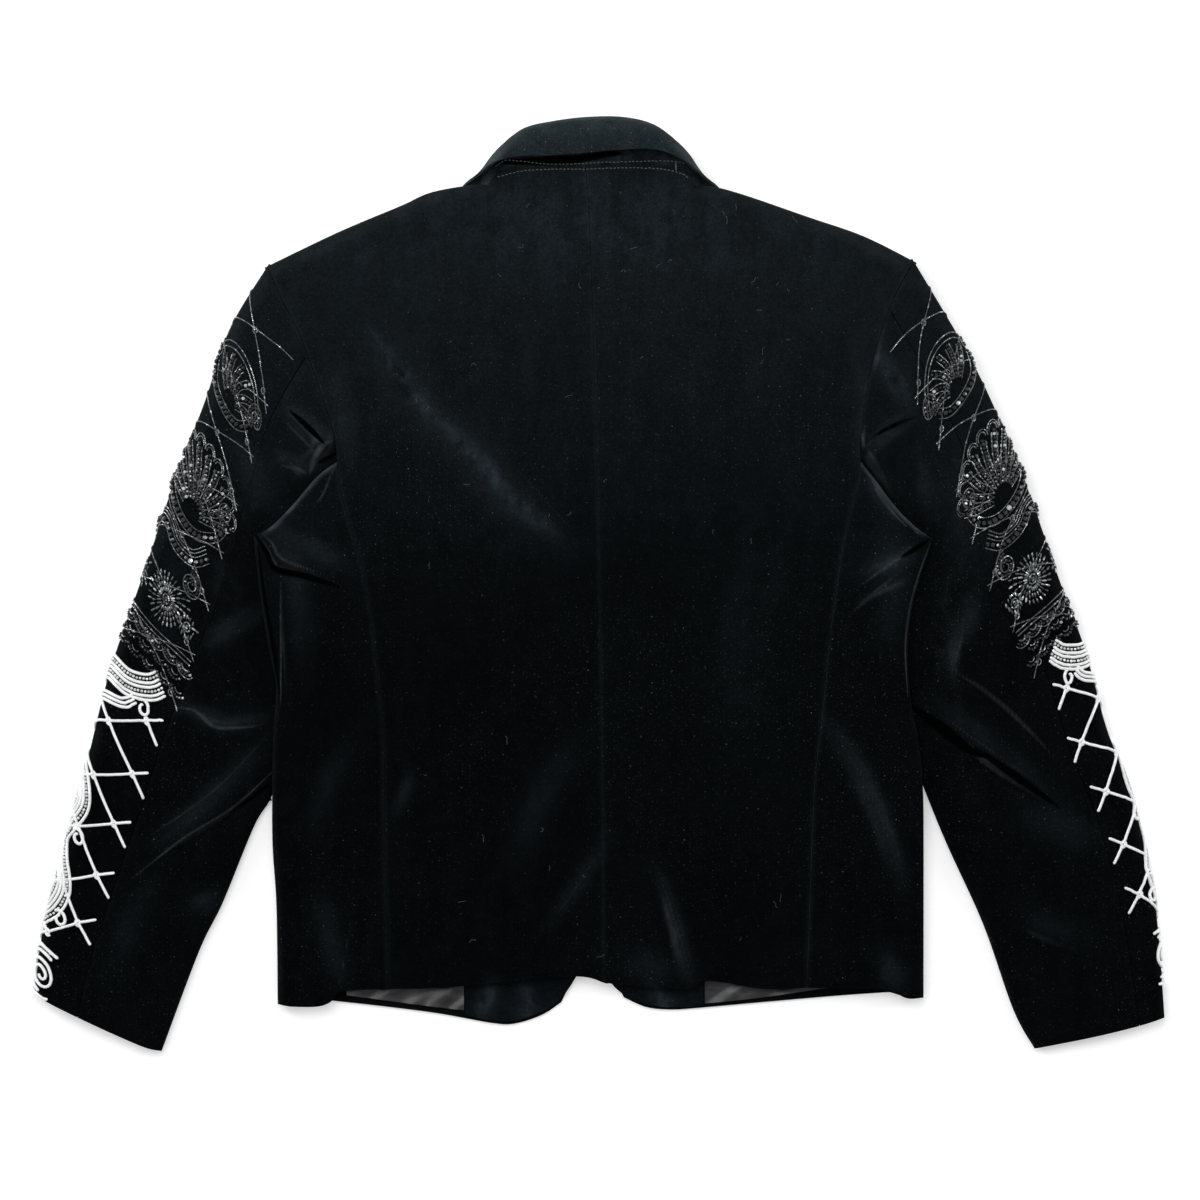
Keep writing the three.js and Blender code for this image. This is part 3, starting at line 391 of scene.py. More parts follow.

# Where the pile is lighter: partly pile laid over, partly painted highlights along the ridges of folds and
# painted sheen over the shoulders. As paths with the reach to each side and the strength.
BODY_NAP_AND_HIGHLIGHTS = [
    ([(-186, 212), (-164, 170), (-140, 138)], 7, 0.55),
    ([(-186, 205), (-160, 163), (-130, 128)], 17, 0.3),
    ([(-146, 150), (-118, 122), (-92, 94), (-76, 74), (-40, 42)], 6, 0.8),
    ([(-150, 147), (-100, 100), (-80, 72), (-30, 33)], 17, 0.4),
    ([(-80, 68), (-52, 52), (-32, 36)], 7, 0.4),
    ([(-200, -125), (-216, -160), (-232, -200)], 10, 0.25),
    ([(-222, -250), (-214, -290), (-205, -325)], 9, 0.45),
    ([(-16, -120), (-50, -176), (-66, -222)], 14, 0.28),
    ([(8, -200), (-20, -244), (-42, -274)], 7, 0.35),
    ([(-150, -150), (-163, -184)], 5, 0.5),
    ([(20, -300), (60, -312)], 14, 0.3),
    ([(43, -220), (62, -276), (74, -324)], 6, 0.45),
    ([(183, -112), (208, -150), (223, -182), (242, -240)], 8, 0.65),
    ([(-220, 248), (-120, 288), (0, 298), (120, 282), (220, 246)], 46, 0.34),
    ([(-265, 60), (-245, 20), (-238, -60)], 9, 0.45),
    ([(232, 50), (236, 0), (232, -50)], 12, 0.35),
    ([(205, 200), (214, 150), (206, 105)], 9, 0.35),
    ([(-214, 180), (-206, 140), (-200, 100)], 10, 0.4),
    ([(-246, 40), (-226, 26), (-204, 16)], 8, 0.6),
    ([(250, 24), (230, 16), (206, 8)], 8, 0.5),
    ([(213, 92), (222, 74), (238, 56)], 6, 0.8),
    ([(226, -292), (234, -312), (240, -324)], 9, 0.6),
    ([(-84, -318), (-92, -334), (-96, -346)], 6, 1.2),
    ([(-62, -322), (-56, -336), (-62, -350)], 6, 1.2),
    ([(40, -322), (48, -332), (60, -340)], 6, 1.0),
    ([(120, 40), (110, -60), (120, -160)], 36, 0.12),
]
SLEEVE_NAP_AND_HIGHLIGHTS = [
    ([(-316, -48), (-294, -34), (-270, -20)], 8, 0.7),
    ([(-356, -208), (-320, -180), (-264, -122)], 9, 0.5),
    ([(-340, -94), (-300, -112), (-268, -108)], 7, 0.6),
    ([(-352, -225), (-376, -270), (-392, -315)], 12, 0.24),
    ([(-300, -250), (-330, -258)], 8, 0.5),
    ([(-288, 112), (-276, 90), (-262, 58)], 10, 0.5),
    ([(-250, 140), (-232, 124), (-216, 112)], 8, 0.8),
    ([(-262, 104), (-240, 94), (-222, 96)], 6, 0.6),
    ([(286, -48), (294, -30), (300, -10)], 8, 0.55),
    ([(262, -92), (300, -118), (364, -166)], 9, 0.3),
    ([(340, -262), (362, -274), (388, -282)], 10, 0.25),
    ([(338, -180), (368, -194), (398, -206)], 15, 0.34),
    ([(222, 184), (234, 164), (248, 140)], 8, 0.7),
    ([(248, 134), (232, 124), (214, 108)], 6, 0.7),
    ([(276, 120), (290, 60), (300, 10)], 14, 0.25),
    ([(-330, 40), (-345, -10), (-350, -60)], 12, 0.2),
]


# Reading tables and drawing lines

def ease(t):
    t = np.clip(t, 0, 1)
    return t * t * (3 - 2 * t)


def ramp(start, end, value):
    return ease((value - start) / (end - start))


def mix(a, b, t):
    return a + (b - a) * t


def bell(distance, width, power=2):
    """1 at no distance, fading out beyond the width."""
    return np.exp(-((distance / width) ** power))


def unit(vectors, spare=1e-9):
    """The same directions, each of length 1. The spare keeps a length of 0 from being divided by."""
    return vectors / (np.linalg.norm(vectors, axis=-1, keepdims=True) + spare)


def surface(x, y, z):
    return np.stack([x, y, z], axis=-1)


def read(table, y, column):
    """A column of a table whose rows run down the garment."""
    return np.interp(y, table["y"][::-1], table[column][::-1])


def drawn(points, count=320):
    """A smooth line through the points."""
    points = np.asarray(points, float)
    spans = len(points) - 1
    place = np.linspace(0, spans, count)
    i = np.minimum(place.astype(int), spans - 1)
    w = (place - i)[:, None]
    before, start, end, after = (points[np.clip(i + k, 0, spans)] for k in (-1, 0, 1, 2))
    leave, arrive = (end - before) / 2, (after - start) / 2
    return (
        (2 * start - 2 * end + leave + arrive) * w**3
        + (3 * end - 3 * start - 2 * leave - arrive) * w**2
        + leave * w
        + start
    )


def evenly(line, count):
    """The same line with its points evenly apart."""
    line = np.asarray(line, float)
    steps = np.linalg.norm(np.diff(line, axis=0), axis=1)
    reach = np.concatenate([[0], np.cumsum(steps)])
    places = np.linspace(0, reach[-1], count)
    return np.stack([np.interp(places, reach, line[:, k]) for k in range(line.shape[1])], axis=1)


def fine(points, count=90):
    """A drawn line, fine enough to follow the edge of a patch."""
    return evenly(drawn(points, 600), count)


def joined(*outlines):
    """One line through several outlines that end where the next begins."""
    lines = [evenly(drawn(points), 21) for points in outlines]
    return np.concatenate([line if i == 0 else line[1:] for i, line in enumerate(lines)])


class Line:
    """A drawn line that is read by the share of its length."""

    def __init__(self, points):
        self.points = evenly(drawn(points, 600), 1200)

    def at(self, share):
        places = np.clip(share, 0, 1) * (len(self.points) - 1)
        index = np.arange(len(self.points))
        return np.stack([np.interp(places, index, self.points[:, k]) for k in range(2)])


class Patch:
    """The plan between four lines: u from the left line to the right one, v from the top one down."""

    def __init__(self, top, bottom, left, right):
        self.top, self.bottom, self.left, self.right = (Line(p) for p in (top, bottom, left, right))

    def __call__(self, u, v):
        top, bottom, left, right = self.top, self.bottom, self.left, self.right
        across = top.at(u) * (1 - v) + bottom.at(u) * v
        down = left.at(v) * (1 - u) + right.at(v) * u
        ends = [line.points[k][:, None, None] for line in (top, bottom) for k in (0, -1)]
        shared = (
            ends[0] * (1 - u) * (1 - v) + ends[1] * u * (1 - v)
            + ends[2] * (1 - u) * v + ends[3] * u * v
        )
        return across + down - shared


def off_path(path, x, y):
    """Distance to a path, how far along it the nearest point lies, and on which side of it."""
    best = np.full(np.shape(x), np.inf)
    along = np.zeros(np.shape(x))
    side = np.zeros(np.shape(x))
    steps = len(path) - 1
    for i in range(steps):
        (ax, ay), (bx, by) = path[i], path[i + 1]
        dx, dy = bx - ax, by - ay
        t = np.clip(((x - ax) * dx + (y - ay) * dy) / (dx * dx + dy * dy + 1e-12), 0, 1)
        ex, ey = x - ax - t * dx, y - ay - t * dy
        distance = np.hypot(ex, ey)
        near = distance < best
        best = np.where(near, distance, best)
        along = np.where(near, (i + t) / steps, along)
        side = np.where(near, np.sign(dx * ey - dy * ex), side)
    return best, along, side


def clear_of(path, x, y):
    """Distance to a path."""
    return off_path(path, x, y)[0]


def outside(side_line, x, y):
    """How far a point lies outside the body's side, below 0 where the body covers it."""
    ring = [tuple(p) for p in side_line] + [(0, side_line[-1][1]), (0, side_line[0][1])]
    covered = np.zeros(np.shape(x), bool)
    for (ax, ay), (bx, by) in zip(ring, ring[-1:] + ring[:-1]):
        if ay == by:
            continue
        crossing = ((ay > y) != (by > y)) & (x < ax + (bx - ax) * (y - ay) / (by - ay))
        covered ^= crossing
    distance = clear_of(side_line, x, y)
    return np.where(covered, -distance, distance)


def folds(table, x, y):
    """The height that the folds of a table add to level cloth."""
    total = np.zeros(np.shape(x))
    for kind, rise, left, right, path in table:
        distance, along, side = off_path(evenly(drawn(path, 60), 13), x, y)
        reach = np.where(side > 0, left, right)
        profile = bell(distance, reach, 1.4 if kind == "trough" else 2)
        if kind == "ledge":
            profile *= np.tanh(side * distance / 1.7)
        total += rise * profile * np.sin(np.pi * np.clip(along, 0.02, 0.98)) ** 0.6
    return total


def rumple(x, y, seed, size=60.0, waves=9):
    """Slow uneven swelling of cloth that lies free, from -1 to 1 or so."""
    luck = np.random.default_rng(seed)
    total = np.zeros(np.shape(x))
    for _ in range(waves):
        turn, phase = luck.uniform(0, 2 * np.pi, 2)
        wave = size * luck.uniform(0.6, 1.9)
        total += np.sin(2 * np.pi * (x * np.cos(turn) + y * np.sin(turn)) / wave + phase)
    return total / waves**0.5


def rounding(distance, width):
    """Rises from 0 at a fold and is level once it is the full width away."""
    return np.sqrt(1 - (1 - np.clip(distance / width, 0, 1)) ** 2)


def layer(upper, high, low, distances):
    """The upper or lower outer face, turned at the folds that lie near."""
    half = (high - low) / 2
    turn = np.ones(np.shape(half))
    for distance in distances:
        turn = turn * rounding(distance, 1.05 * half)
    reach = HALF_GAP + (half - HALF_GAP) * turn
    return (high + low) / 2 + (reach if upper else -reach)


# How the layers lie

def seam_lines():
    lines = [drawn(CENTRE_BACK, 40)]
    for half in HALVES.values():
        lines += [joined(half["armhole_back"], half["side_seam"])]
    return lines


SEAM_LINES = seam_lines()


def pressed(x, y, depth=0.45, width=1.9):
    """The shallow groove that a pressed seam leaves in the pile."""
    groove = np.zeros(np.shape(x))
    for line in SEAM_LINES:
        groove = np.minimum(groove, -depth * bell(clear_of(line, x, y), width))
    return groove


def back_height(x, y):
    side = ramp(50, 215, np.abs(x))
    height = mix(read(BACK_HEIGHT, y, "middle"), read(BACK_HEIGHT, y, "side"), side)
    strength = bpy.context.scene.blazer_cloth.fold_depth
    return height + strength * folds(BODY_FOLDS, x, y) + 0.42 * rumple(x, y, 4) + 0.14 * rumple(x, y, 9, 22)


def brushed_and_highlit(table, points, least):
    """How much lighter the pile is at each point of a grid, from 0 to 1: pile laid over, painted highlights
    and painted sheen.
    """
    x, y = points[..., 0], points[..., 1]
    total = np.full(x.shape, float(least))
    for path, reach, strength in table:
        distance, along, _ = off_path(path, x, y)
        total += 0.7 * strength * bell(distance, reach) * (0.25 + 0.75 * np.sin(np.pi * along))
    for line in SEAM_LINES:
        total += SEAM_MARK * bell(clear_of(line, x, y), SEAM_MARK_WIDTH)
    # Painted sheen, more and more towards the shoulders
    total += SHOULDER_SHEEN_PAINTED * ramp(-90, 290, y)
    return np.clip(total, 0, 1)


def lined(table, points, far=-1.5):
    """How near each point lies to one of the lines: 1 on it, 0 at its half width and below 0 beyond.
    The lines thin out towards both ends."""
    x, y = points[..., 0], points[..., 1]
    most = np.full(x.shape, far)
    for width, strength, path in table:
        spare = (1 - far) * width
        (left, low), (right, high) = np.min(path, axis=0) - spare, np.max(path, axis=0) + spare
        near = (x > left) & (x < right) & (y > low) & (y < high)
        if not near.any():
            continue
        distance, along, _ = off_path(evenly(drawn(path, 80), 41), x[near], y[near])
        reach = width * np.sin(np.pi * np.clip(along, 0.05, 0.95)) ** 0.5
        most[near] = np.maximum(most[near], np.clip(strength - distance / reach, far, 1))
    return most


def calm(points, lines, width=13.0):
    """Less than 1 near the outer folds and hems, where the painted light on slopes is held back."""
    x, y = points[..., 0], points[..., 1]
    least = np.ones(x.shape)
    for line in lines:
        least = np.minimum(least, 1 - 0.93 * bell(clear_of(line, x, y), width, 4))
    return least


def tuck_lift(x, y):
    full = read(TUCK, y, "full")
    return read(TUCK, y, "lift") * ramp(full - 55, full, np.abs(x))


def roll_x(half, y):
    (top_x, top_y), (low_x, low_y) = half["roll_top"], half["roll_bottom"]
    return mix(low_x, top_x, (y - low_y) / (top_y - low_y))


def lapel_lift(half, x, y):
    width = read(LAPEL_WIDTH, y, "width")
    cover = 1 - ramp(width + 9, width + 25, (x - roll_x(half, y)) * half["sign"])
    return LAPEL_LIFT * cover * ramp(-70, -56, y)


def front_lift(half, x, y):
    lift = np.maximum(tuck_lift(x, y), lapel_lift(half, x, y))
    if half["sign"] < 0:
        reach = np.hypot(x - BUTTON["x"], y - BUTTON["y"])
        over_button = 1 - ramp(BUTTON["radius"] + 16, BUTTON["radius"] + 50, reach)
        return np.maximum(lift, (BUTTON["height"] + 0.6) * over_button)
    return np.maximum(lift, read(UNDERLAP, y, "lift") * (1 - ramp(28, 80, x)))


def turning_line(half):
    return np.concatenate([fine(half["shoulder"], 30), fine(half["sleeve_outer"])[1:]])


def spread(start, end, steps):
    return np.linspace(start, end, steps + 1)


def eased_steps(fine, reach, steps):
    """Steps from 0 to 1 that start fine, for a piece whose first edge is a fold."""
    start = reach * (1 - np.cos(np.arange(fine) * np.pi / (2 * fine)))
    return np.concatenate([start, spread(reach, 1, steps - fine)])


def grid(across, down):
    return np.meshgrid(across, down)


def hem_roll(distance, depth=2.4, width=5.0):
    """How far a turned hem rounds down towards its edge."""
    return -depth * (1 - rounding(distance, width))


def steps_for(length):
    return max(int(length / bpy.context.scene.blazer_cloth.mesh_step), 4)


# Surfaces, each a grid of points in millimetres

def allowance(points, drop):
    """The points with a seam allowance before the first column, tucked under the next piece."""
    outwards = points[:, :1] - points[:, 1:2]
    outwards[..., 2] = 0
    outwards = unit(outwards)
    under = np.zeros(outwards.shape)
    under[..., 2] = np.reshape(drop, (-1, 1))
    near = points[:, :1] + 0.25 * outwards - 0.6 * under
    return np.concatenate([points[:, :1] + ALLOWANCE * outwards - under, near, points], axis=1)


def rows_down(steps):
    """Shares of a panel's length that start fine at the shoulder fold."""
    return eased_steps(8, 16 / LENGTH, steps) * (1 - 0.03 / LENGTH) + 0.03 / LENGTH


def back_points(half):
    outer_seam = joined(half["armhole_back"], half["side_seam"])
    plan = Patch(joined(half["neck"], half["shoulder"]), half["hem_back"], CENTRE_BACK, outer_seam)
    across = spread(CENTRE_GAP / WIDTH, 1 - SEAM_GAP / WIDTH, steps_for(WIDTH))
    x, y = plan(*grid(across, rows_down(steps_for(LENGTH))))
    z = layer(True, back_height(x, y), 0, [clear_of(turning_line(half), x, y)])
    hem, neck = (clear_of(drawn(half[edge], 24), x, y) for edge in ("hem_back", "neck"))
    z = z + pressed(x, y) + hem_roll(hem) + hem_roll(neck, 1.2, 3)
    z = z - 0.5 * bell(hem - HEM_TURNING, 2.2)
    points = surface(x, y, z)
    return allowance(points, TUCKED) if half["sign"] < 0 else points


def side_points(half):
    edge, seam = half["body_edge"], half["front_seam"]
    upper = Patch(half["underarm"], half["hem_side"], edge, half["side_seam"])
    lower = Patch([half["underarm"][0], seam[0]], half["hem_under"], edge, seam)
    hem_line, under_line = (drawn(half[name], 30) for name in ("hem_side", "underarm"))
    down = spread(SEAM_GAP / SIDE_LENGTH, 1, steps_for(SIDE_LENGTH))
    faces = []
    for top, plan, shares in (
        (True, upper, spread(-1 + SEAM_GAP / 180, 0, steps_for(95))),
        (False, lower, spread(0, 1 - SEAM_GAP / 45, steps_for(60))[1:]),
    ):
        a, v = grid(shares, down)
        x, y = plan(a * a, v)
        z = layer(top, back_height(x, y), tuck_lift(x, y), [clear_of(fine(edge), x, y)])
        if top:
            z = z + pressed(x, y) + hem_roll(clear_of(hem_line, x, y))
            z = z + hem_roll(clear_of(under_line, x, y), 4, 8)
        faces.append(surface(x, y, z))
    return allowance(np.concatenate(faces, axis=1), TUCKED)


def front_points(half):
    outer_seam = joined(half["armhole_front"], half["front_seam"])
    plan = Patch(joined(half["shoulder"]), half["hem_front"], half["front_edge"], outer_seam)
    across = spread(0, 1 - 2 * SEAM_GAP / WIDTH, steps_for(WIDTH) // 2)
    x, y = plan(*grid(across, rows_down(steps_for(LENGTH) // 2)))
    fold = clear_of(turning_line(half), x, y)
    z = layer(False, back_height(x, y), front_lift(half, x, y), [fold])
    return allowance(surface(x, y, z)[:, ::-1], -TUCKED)


class Sleeve:
    """The flattened tube of a sleeve. Around runs from 0 at the outer fold over the top to 1 at the
    inner fold, and back to 2 underneath."""

    def __init__(self, half):
        self.half = half
        armhole = joined(half["armhole_back"], half["armhole_hidden"])
        below = half["cuff"], half["sleeve_outer"], half["sleeve_inner"]
        self.upper = Patch(armhole, *below)
        self.lower = Patch(half["armhole_front"], *below)
        self.turning = turning_line(half)
        self.inner = fine(half["sleeve_inner"])
        self.cover = joined(half["underarm"][::-1], half["body_edge"])
        self.cuff = drawn(half["cuff"], 24)
        self.armhole = joined(half["armhole_back"])

    def height(self, x, y, u, v):
        inner, outer = read(SLEEVE_HEIGHT, y, "inner"), read(SLEEVE_HEIGHT, y, "outer")
        strength = bpy.context.scene.blazer_cloth.fold_depth
        free = mix(outer, inner, ramp(0.5, 1, u))
        clear = outside(self.cover, x, y)
        own = mix(read(SLEEVE_HEIGHT, y, "tucked"), free, ramp(2.5, 64, clear) ** 0.8)
        cap = (1 - ramp(0, 0.16, v)) * (1 - ramp(0.66, 0.78, u)) * ramp(0, 12, clear)
        drape = strength * folds(SLEEVE_FOLDS, x, y) + 0.4 * rumple(x, y, 21) + 0.14 * rumple(x, y, 33, 20)
        return mix(own, back_height(x, y), cap) + drape * ramp(1, 7, clear) * ramp(0, 0.012, v)

    def points(self, around, v):
        turned = np.where(around < 0, around + 2, around)
        on_top = turned <= 1
        u = (1 - np.cos(np.pi * turned)) / 2
        upper, lower = self.upper(u, v), self.lower(u, v)
        x, y = (np.where(on_top, a, b) for a, b in zip(upper, lower))
        high = self.height(x, y, u, v)
        distances = [clear_of(self.turning, x, y), clear_of(self.inner, x, y)]
        top = layer(True, high, 0, distances)
        bottom = layer(False, high, 0, distances)
        cuff = hem_roll(clear_of(self.cuff, x, y), 2, 4)
        seam = -0.75 * bell(clear_of(self.armhole, x, y), 2.6)
        line = -0.6 * bell((u - self.half["back_seam"]) * SLEEVE_WIDTH, 2.2)
        z = np.where(on_top, top + cuff + seam + line, bottom)
        return surface(x, y, z)


SLEEVES = {}


def sleeve(half):
    if half["name"] not in SLEEVES:
        SLEEVES[half["name"]] = Sleeve(half)
    return SLEEVES[half["name"]]


def around_at(u):
    return math.acos(1 - 2 * u) / math.pi


def table_line(table, name, count):
    """The line in space that three columns of a table give."""
    return drawn(np.stack([table[f"{name}_{axis}"] for axis in "xyz"], 1), count)


def collar_points():
    count = 200
    share = np.linspace(0, 1, count)
    place = np.linspace(0, len(COLLAR["radius"]) - 1, count)
    rolls, edges = table_line(COLLAR, "roll", count), table_line(COLLAR, "edge", count)
    index = np.arange(len(COLLAR["radius"]))
    radius = np.interp(place, index, COLLAR["radius"])[:, None]
    start = np.radians(np.interp(place, index, COLLAR["turn"]))[:, None]
    outward = unit(edges - rolls, 0)
    away = unit(np.cross(outward, np.gradient(rolls, axis=0)), 0)
    columns = []
    wave = 0.5 * np.sin(share * 39)[:, None] + 0.35 * np.sin(share * 87 + 1)[:, None]
    folded = 0.4
    for b in np.concatenate([np.linspace(0, folded, 9)[:-1], np.linspace(folded, 1, 12)]):
        angle = mix(start, np.pi / 2, min(b / folded, 1))
        point = rolls - outward * radius * np.cos(angle) + away * radius * np.sin(angle)
        if b > folded:
            t = (b - folded) / (1 - folded)
            middle = bell(share - 0.5, 0.17, 4)[:, None]
            crown = 1.6 * np.sin(np.pi * t) - 1.4 * t**6
            point = mix(point, edges, t) + np.array([0, 0, 1]) * (crown + wave * t) * middle
        columns.append(point)
    return np.stack(columns, axis=1)


def stand_points():
    seam, top = table_line(STAND, "seam", 90), table_line(STAND, "top", 90)
    return np.stack([mix(seam, top, b) for b in np.linspace(0, 1, 10)], axis=1)


def lapel_points(half):
    low, tip = half["lapel_low"], half["lapel_tip"]

    def beyond(y):
        return float(roll_x(half, y) + half["sign"] * (read(LAPEL_WIDTH, y, "width") - 2))

    gorge = half["lapel_gorge"]
    low_x = beyond(low[1])
    if abs(low_x - low[0]) <= 3:
        low_x = low[0] + half["sign"] * 3
    outer = [(low_x, low[1])] + [(beyond(y), y) for y in (45, 90, 130, 180) if y > low[1] + 10] + [tip]
    plan = Patch([low, outer[0]], [gorge, half["lapel_corner"], tip], [low, gorge], outer)
    x, y = plan(*grid(spread(0, 1, 16), spread(0, 1, 60)))
    return surface(x, y, np.full(x.shape, 2.0))


def strip_points(half, plan, seed, swell):
    """A facing or lining laid on the inner face of a front."""
    x, y = plan(*grid(spread(0, 1, 70), spread(0, 1, 26)))
    # Creases run up to the right, four times as long as they are wide.
    along, wide = 0.79 * x + 0.61 * y, 0.61 * x - 0.79 * y
    puff = swell * (0.5 + 0.5 * np.clip(rumple(wide, along / 4, seed, 13) * 0.9, -1, 1))
    front_wall, clearance, own_wall = 2, 0.5, 1.2
    return surface(x, y, front_lift(half, x, y) + front_wall + clearance + own_wall + puff)


def facing_plan(half):
    edge, hem, corner = half["facing_edge"], half["facing_hem"], (half["facing_side"], INNER_TOP)
    return Patch([edge[0], corner], hem, edge, [corner, hem[-1]])


def lining_plan(half):
    hem = half["lining_hem"]
    sides = [[(x, INNER_TOP), (x, y)] for x, y in (hem[0], hem[-1])]
    return Patch([side[0] for side in sides], hem, *sides)


# Making the pieces

def deselect():
    bpy.ops.object.select_all(action="DESELECT")


def face_out(points, lies, outward):
    """The points in the order that puts the outer face out. Without a direction, out is away from
    the middle of the piece."""
    across = points[1:, 1:] - points[1:, :-1]
    down = points[1:, 1:] - points[:-1, 1:]
    normals = np.cross(down, across)
    away = np.array(outward) if outward else points[1:, 1:] - points.reshape(-1, 3).mean(axis=0)
    if (normals * away).sum() > 0:
        return points, lies
    return points[:, ::-1], {name: lie[:, ::-1] for name, lie in lies.items()}


def cloth(name, points, thickness, lies, outward=None):
    """A sheet on the grid of points, given its thickness inwards, with its faces out."""
    points, lies = face_out(points, lies, outward)
    down, across = points.shape[:2]
    deselect()
    bpy.ops.mesh.primitive_grid_add(x_subdivisions=across - 1, y_subdivisions=down - 1, size=1)
    obj = bpy.context.object
    obj.name = obj.data.name = name
    flat = np.empty(len(obj.data.vertices) * 3)
    obj.data.vertices.foreach_get("co", flat)
    flat = flat.reshape(-1, 3)
    if len(flat) != down * across:
        raise RuntimeError(f"{name}: the grid has {len(flat)} points and needs {down * across}")
    order = np.lexsort((np.round(flat[:, 0], 6), -np.round(flat[:, 1], 6)))
    flat[order] = (points.reshape(-1, 3) + SHIFT) * MM
    obj.data.vertices.foreach_set("co", flat.ravel())
    obj.data.update()
    for label, lie in lies.items():
        values = np.empty(len(flat))
        values[order] = lie.ravel()
        obj.data.attributes.new(label, "FLOAT", "POINT").data.foreach_set("value", values)
    wall = obj.modifiers.new("Cloth thickness", "SOLIDIFY")
    wall.thickness = thickness * MM
    wall.offset = -1
    bpy.ops.object.modifier_apply(modifier=wall.name)
    bpy.ops.object.shade_smooth_by_angle(angle=math.radians(50))
    return obj


def flat_size(points):
    """Width, length and area of the flat cut that the grid's surface comes from, in metres."""
    wide = np.linalg.norm(np.diff(points, axis=1), axis=2).sum(axis=1).max()
    long = np.linalg.norm(np.diff(points, axis=0), axis=2).sum(axis=0).max()
    a, b = points[1:, 1:] - points[:-1, :-1], points[1:, :-1] - points[:-1, 1:]
    area = np.linalg.norm(np.cross(a, b), axis=2).sum() / 2
    return (float(wide) * MM, float(long) * MM), float(area) * MM * MM


def stand_in(obj, slot, *nodes):
    """The piece rides on the blazer and stands for its solids. The slot is not used."""
    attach(obj, ROOT)
    if nodes:
        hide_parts(*nodes)


def panel(
    name, points, rests_on, outward=None, finish="velvet", slot="velvet", thin=False,
    nap_and_highlights=(), least=0.12, rims=(), part="",
):
    """Makes one sewn piece, cloth of its flat cut, and stands it in for the solid of the same name."""
    settings = bpy.context.scene.blazer_cloth
    thickness = (settings.lining_thickness if thin else settings.thickness) / MM
    shade_lines, highlight_lines = LINES.get(part, ((), ()))
    # Each piece carries its pile marks with their painted highlights, the share of painted light on its
    # slopes, and its lines of painted shade and painted highlight
    lies = {
        "brushed_and_highlit": brushed_and_highlit(nap_and_highlights, points, least),
        "slope_light_share": calm(points, rims),
        "shade_painted": lined(shade_lines, points),
        "highlight_painted": lined(highlight_lines, points),
    }
    obj = cloth(name, points, thickness, lies, outward)
    obj.data.materials.append(material(finish))
    stand_in(obj, slot, name.split("_", 1)[1])
    size, area = flat_size(points)
    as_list(rests_on)


UP, DOWN = (0, 0, 1), (0, 0, -1)
# Lines of painted shade and painted highlight for each part
LINES = {
    "body": (BODY_PAINTED_SHADE, BODY_PAINTED_HIGHLIGHTS),
    "sleeve": (SLEEVE_PAINTED_SHADE, SLEEVE_PAINTED_HIGHLIGHTS),
    "stand": (STAND_PAINTED_SHADE, ()),
}


# Finishes

# Specks of lint, as crowding, width of the widest and strength
LINT = ((118, 0.055, 0.9), (330, 0.11, 0.5), (700, 0.2, 0.2))
LINT_COLOUR = (0.12, 0.13, 0.125, 1)
# Near-black colour of the painted shade in the hollows of folds
PAINTED_SHADE_COLOUR = (0.0002, 0.0003, 0.0004, 1)


class Shading:
    """Adds nodes to one tree."""

    def __init__(self, tree):
        self.nodes, self.links = tree.nodes, tree.links

    def fill(self, node, sockets):
        """Links each named input to an output, or sets its constant."""
        for key, value in sockets.items():
            if isinstance(value, bpy.types.NodeSocket):
                self.links.new(value, node.inputs[key])
            else:
                node.inputs[key].default_value = value
        return node

    def add(self, kind, sockets=None, **settings):
        node = self.nodes.new("ShaderNode" + kind)
        for key, value in settings.items():
            setattr(node, key, value)
        return self.fill(node, sockets or {})

    def math(self, operation, a, b, clamp=False):
        return self.add("Math", {0: a, 1: b}, operation=operation, use_clamp=clamp).outputs[0]

    def times(self, a, b, clamp=False):
        return self.math("MULTIPLY", a, b, clamp)

    def plus(self, a, b):
        return self.math("ADD", a, b)

    def place(self):
        return self.add("TexCoord").outputs["Object"]

    def mapped(self, place, turn, scale):
        """Places turned by an angle in degrees and scaled."""
        sockets = {"Vector": place, "Rotation": (0, 0, math.radians(turn)), "Scale": scale}
        return self.add("Mapping", sockets).outputs["Vector"]

    def noise(self, place, scale, detail=2, roughness=0.5, distortion=0):
        names = ("Vector", "Scale", "Detail", "Roughness", "Distortion")
        sockets = dict(zip(names, (place, scale, detail, roughness, distortion)))
        return self.add("TexNoise", sockets).outputs["Fac"]

    def ranged(self, value, low, high, out_low=0.0, out_high=1.0, curve="SMOOTHSTEP"):
        names = ("Value", "From Min", "From Max", "To Min", "To Max")
        sockets = dict(zip(names, (value, low, high, out_low, out_high)))
        return self.add("MapRange", sockets, interpolation_type=curve).outputs["Result"]

    def carried(self, label):
        """A value that the mesh carries at each point."""
        return self.add("Attribute", attribute_name=label, attribute_type="GEOMETRY").outputs["Fac"]

    def blend(self, factor, a, b):
        return self.add("Mix", {"Factor": factor, "A": a, "B": b}, data_type="RGBA").outputs["Result"]

    def bump(self, height, strength, distance):
        sockets = {"Height": height, "Strength": strength, "Distance": distance}
        return self.add("Bump", sockets).outputs["Normal"]


def solid(colour, share=1.0):
    """A colour with its opacity, darkened or lightened by a share."""
    return (*[min(part * share, 1) for part in colour], 1)


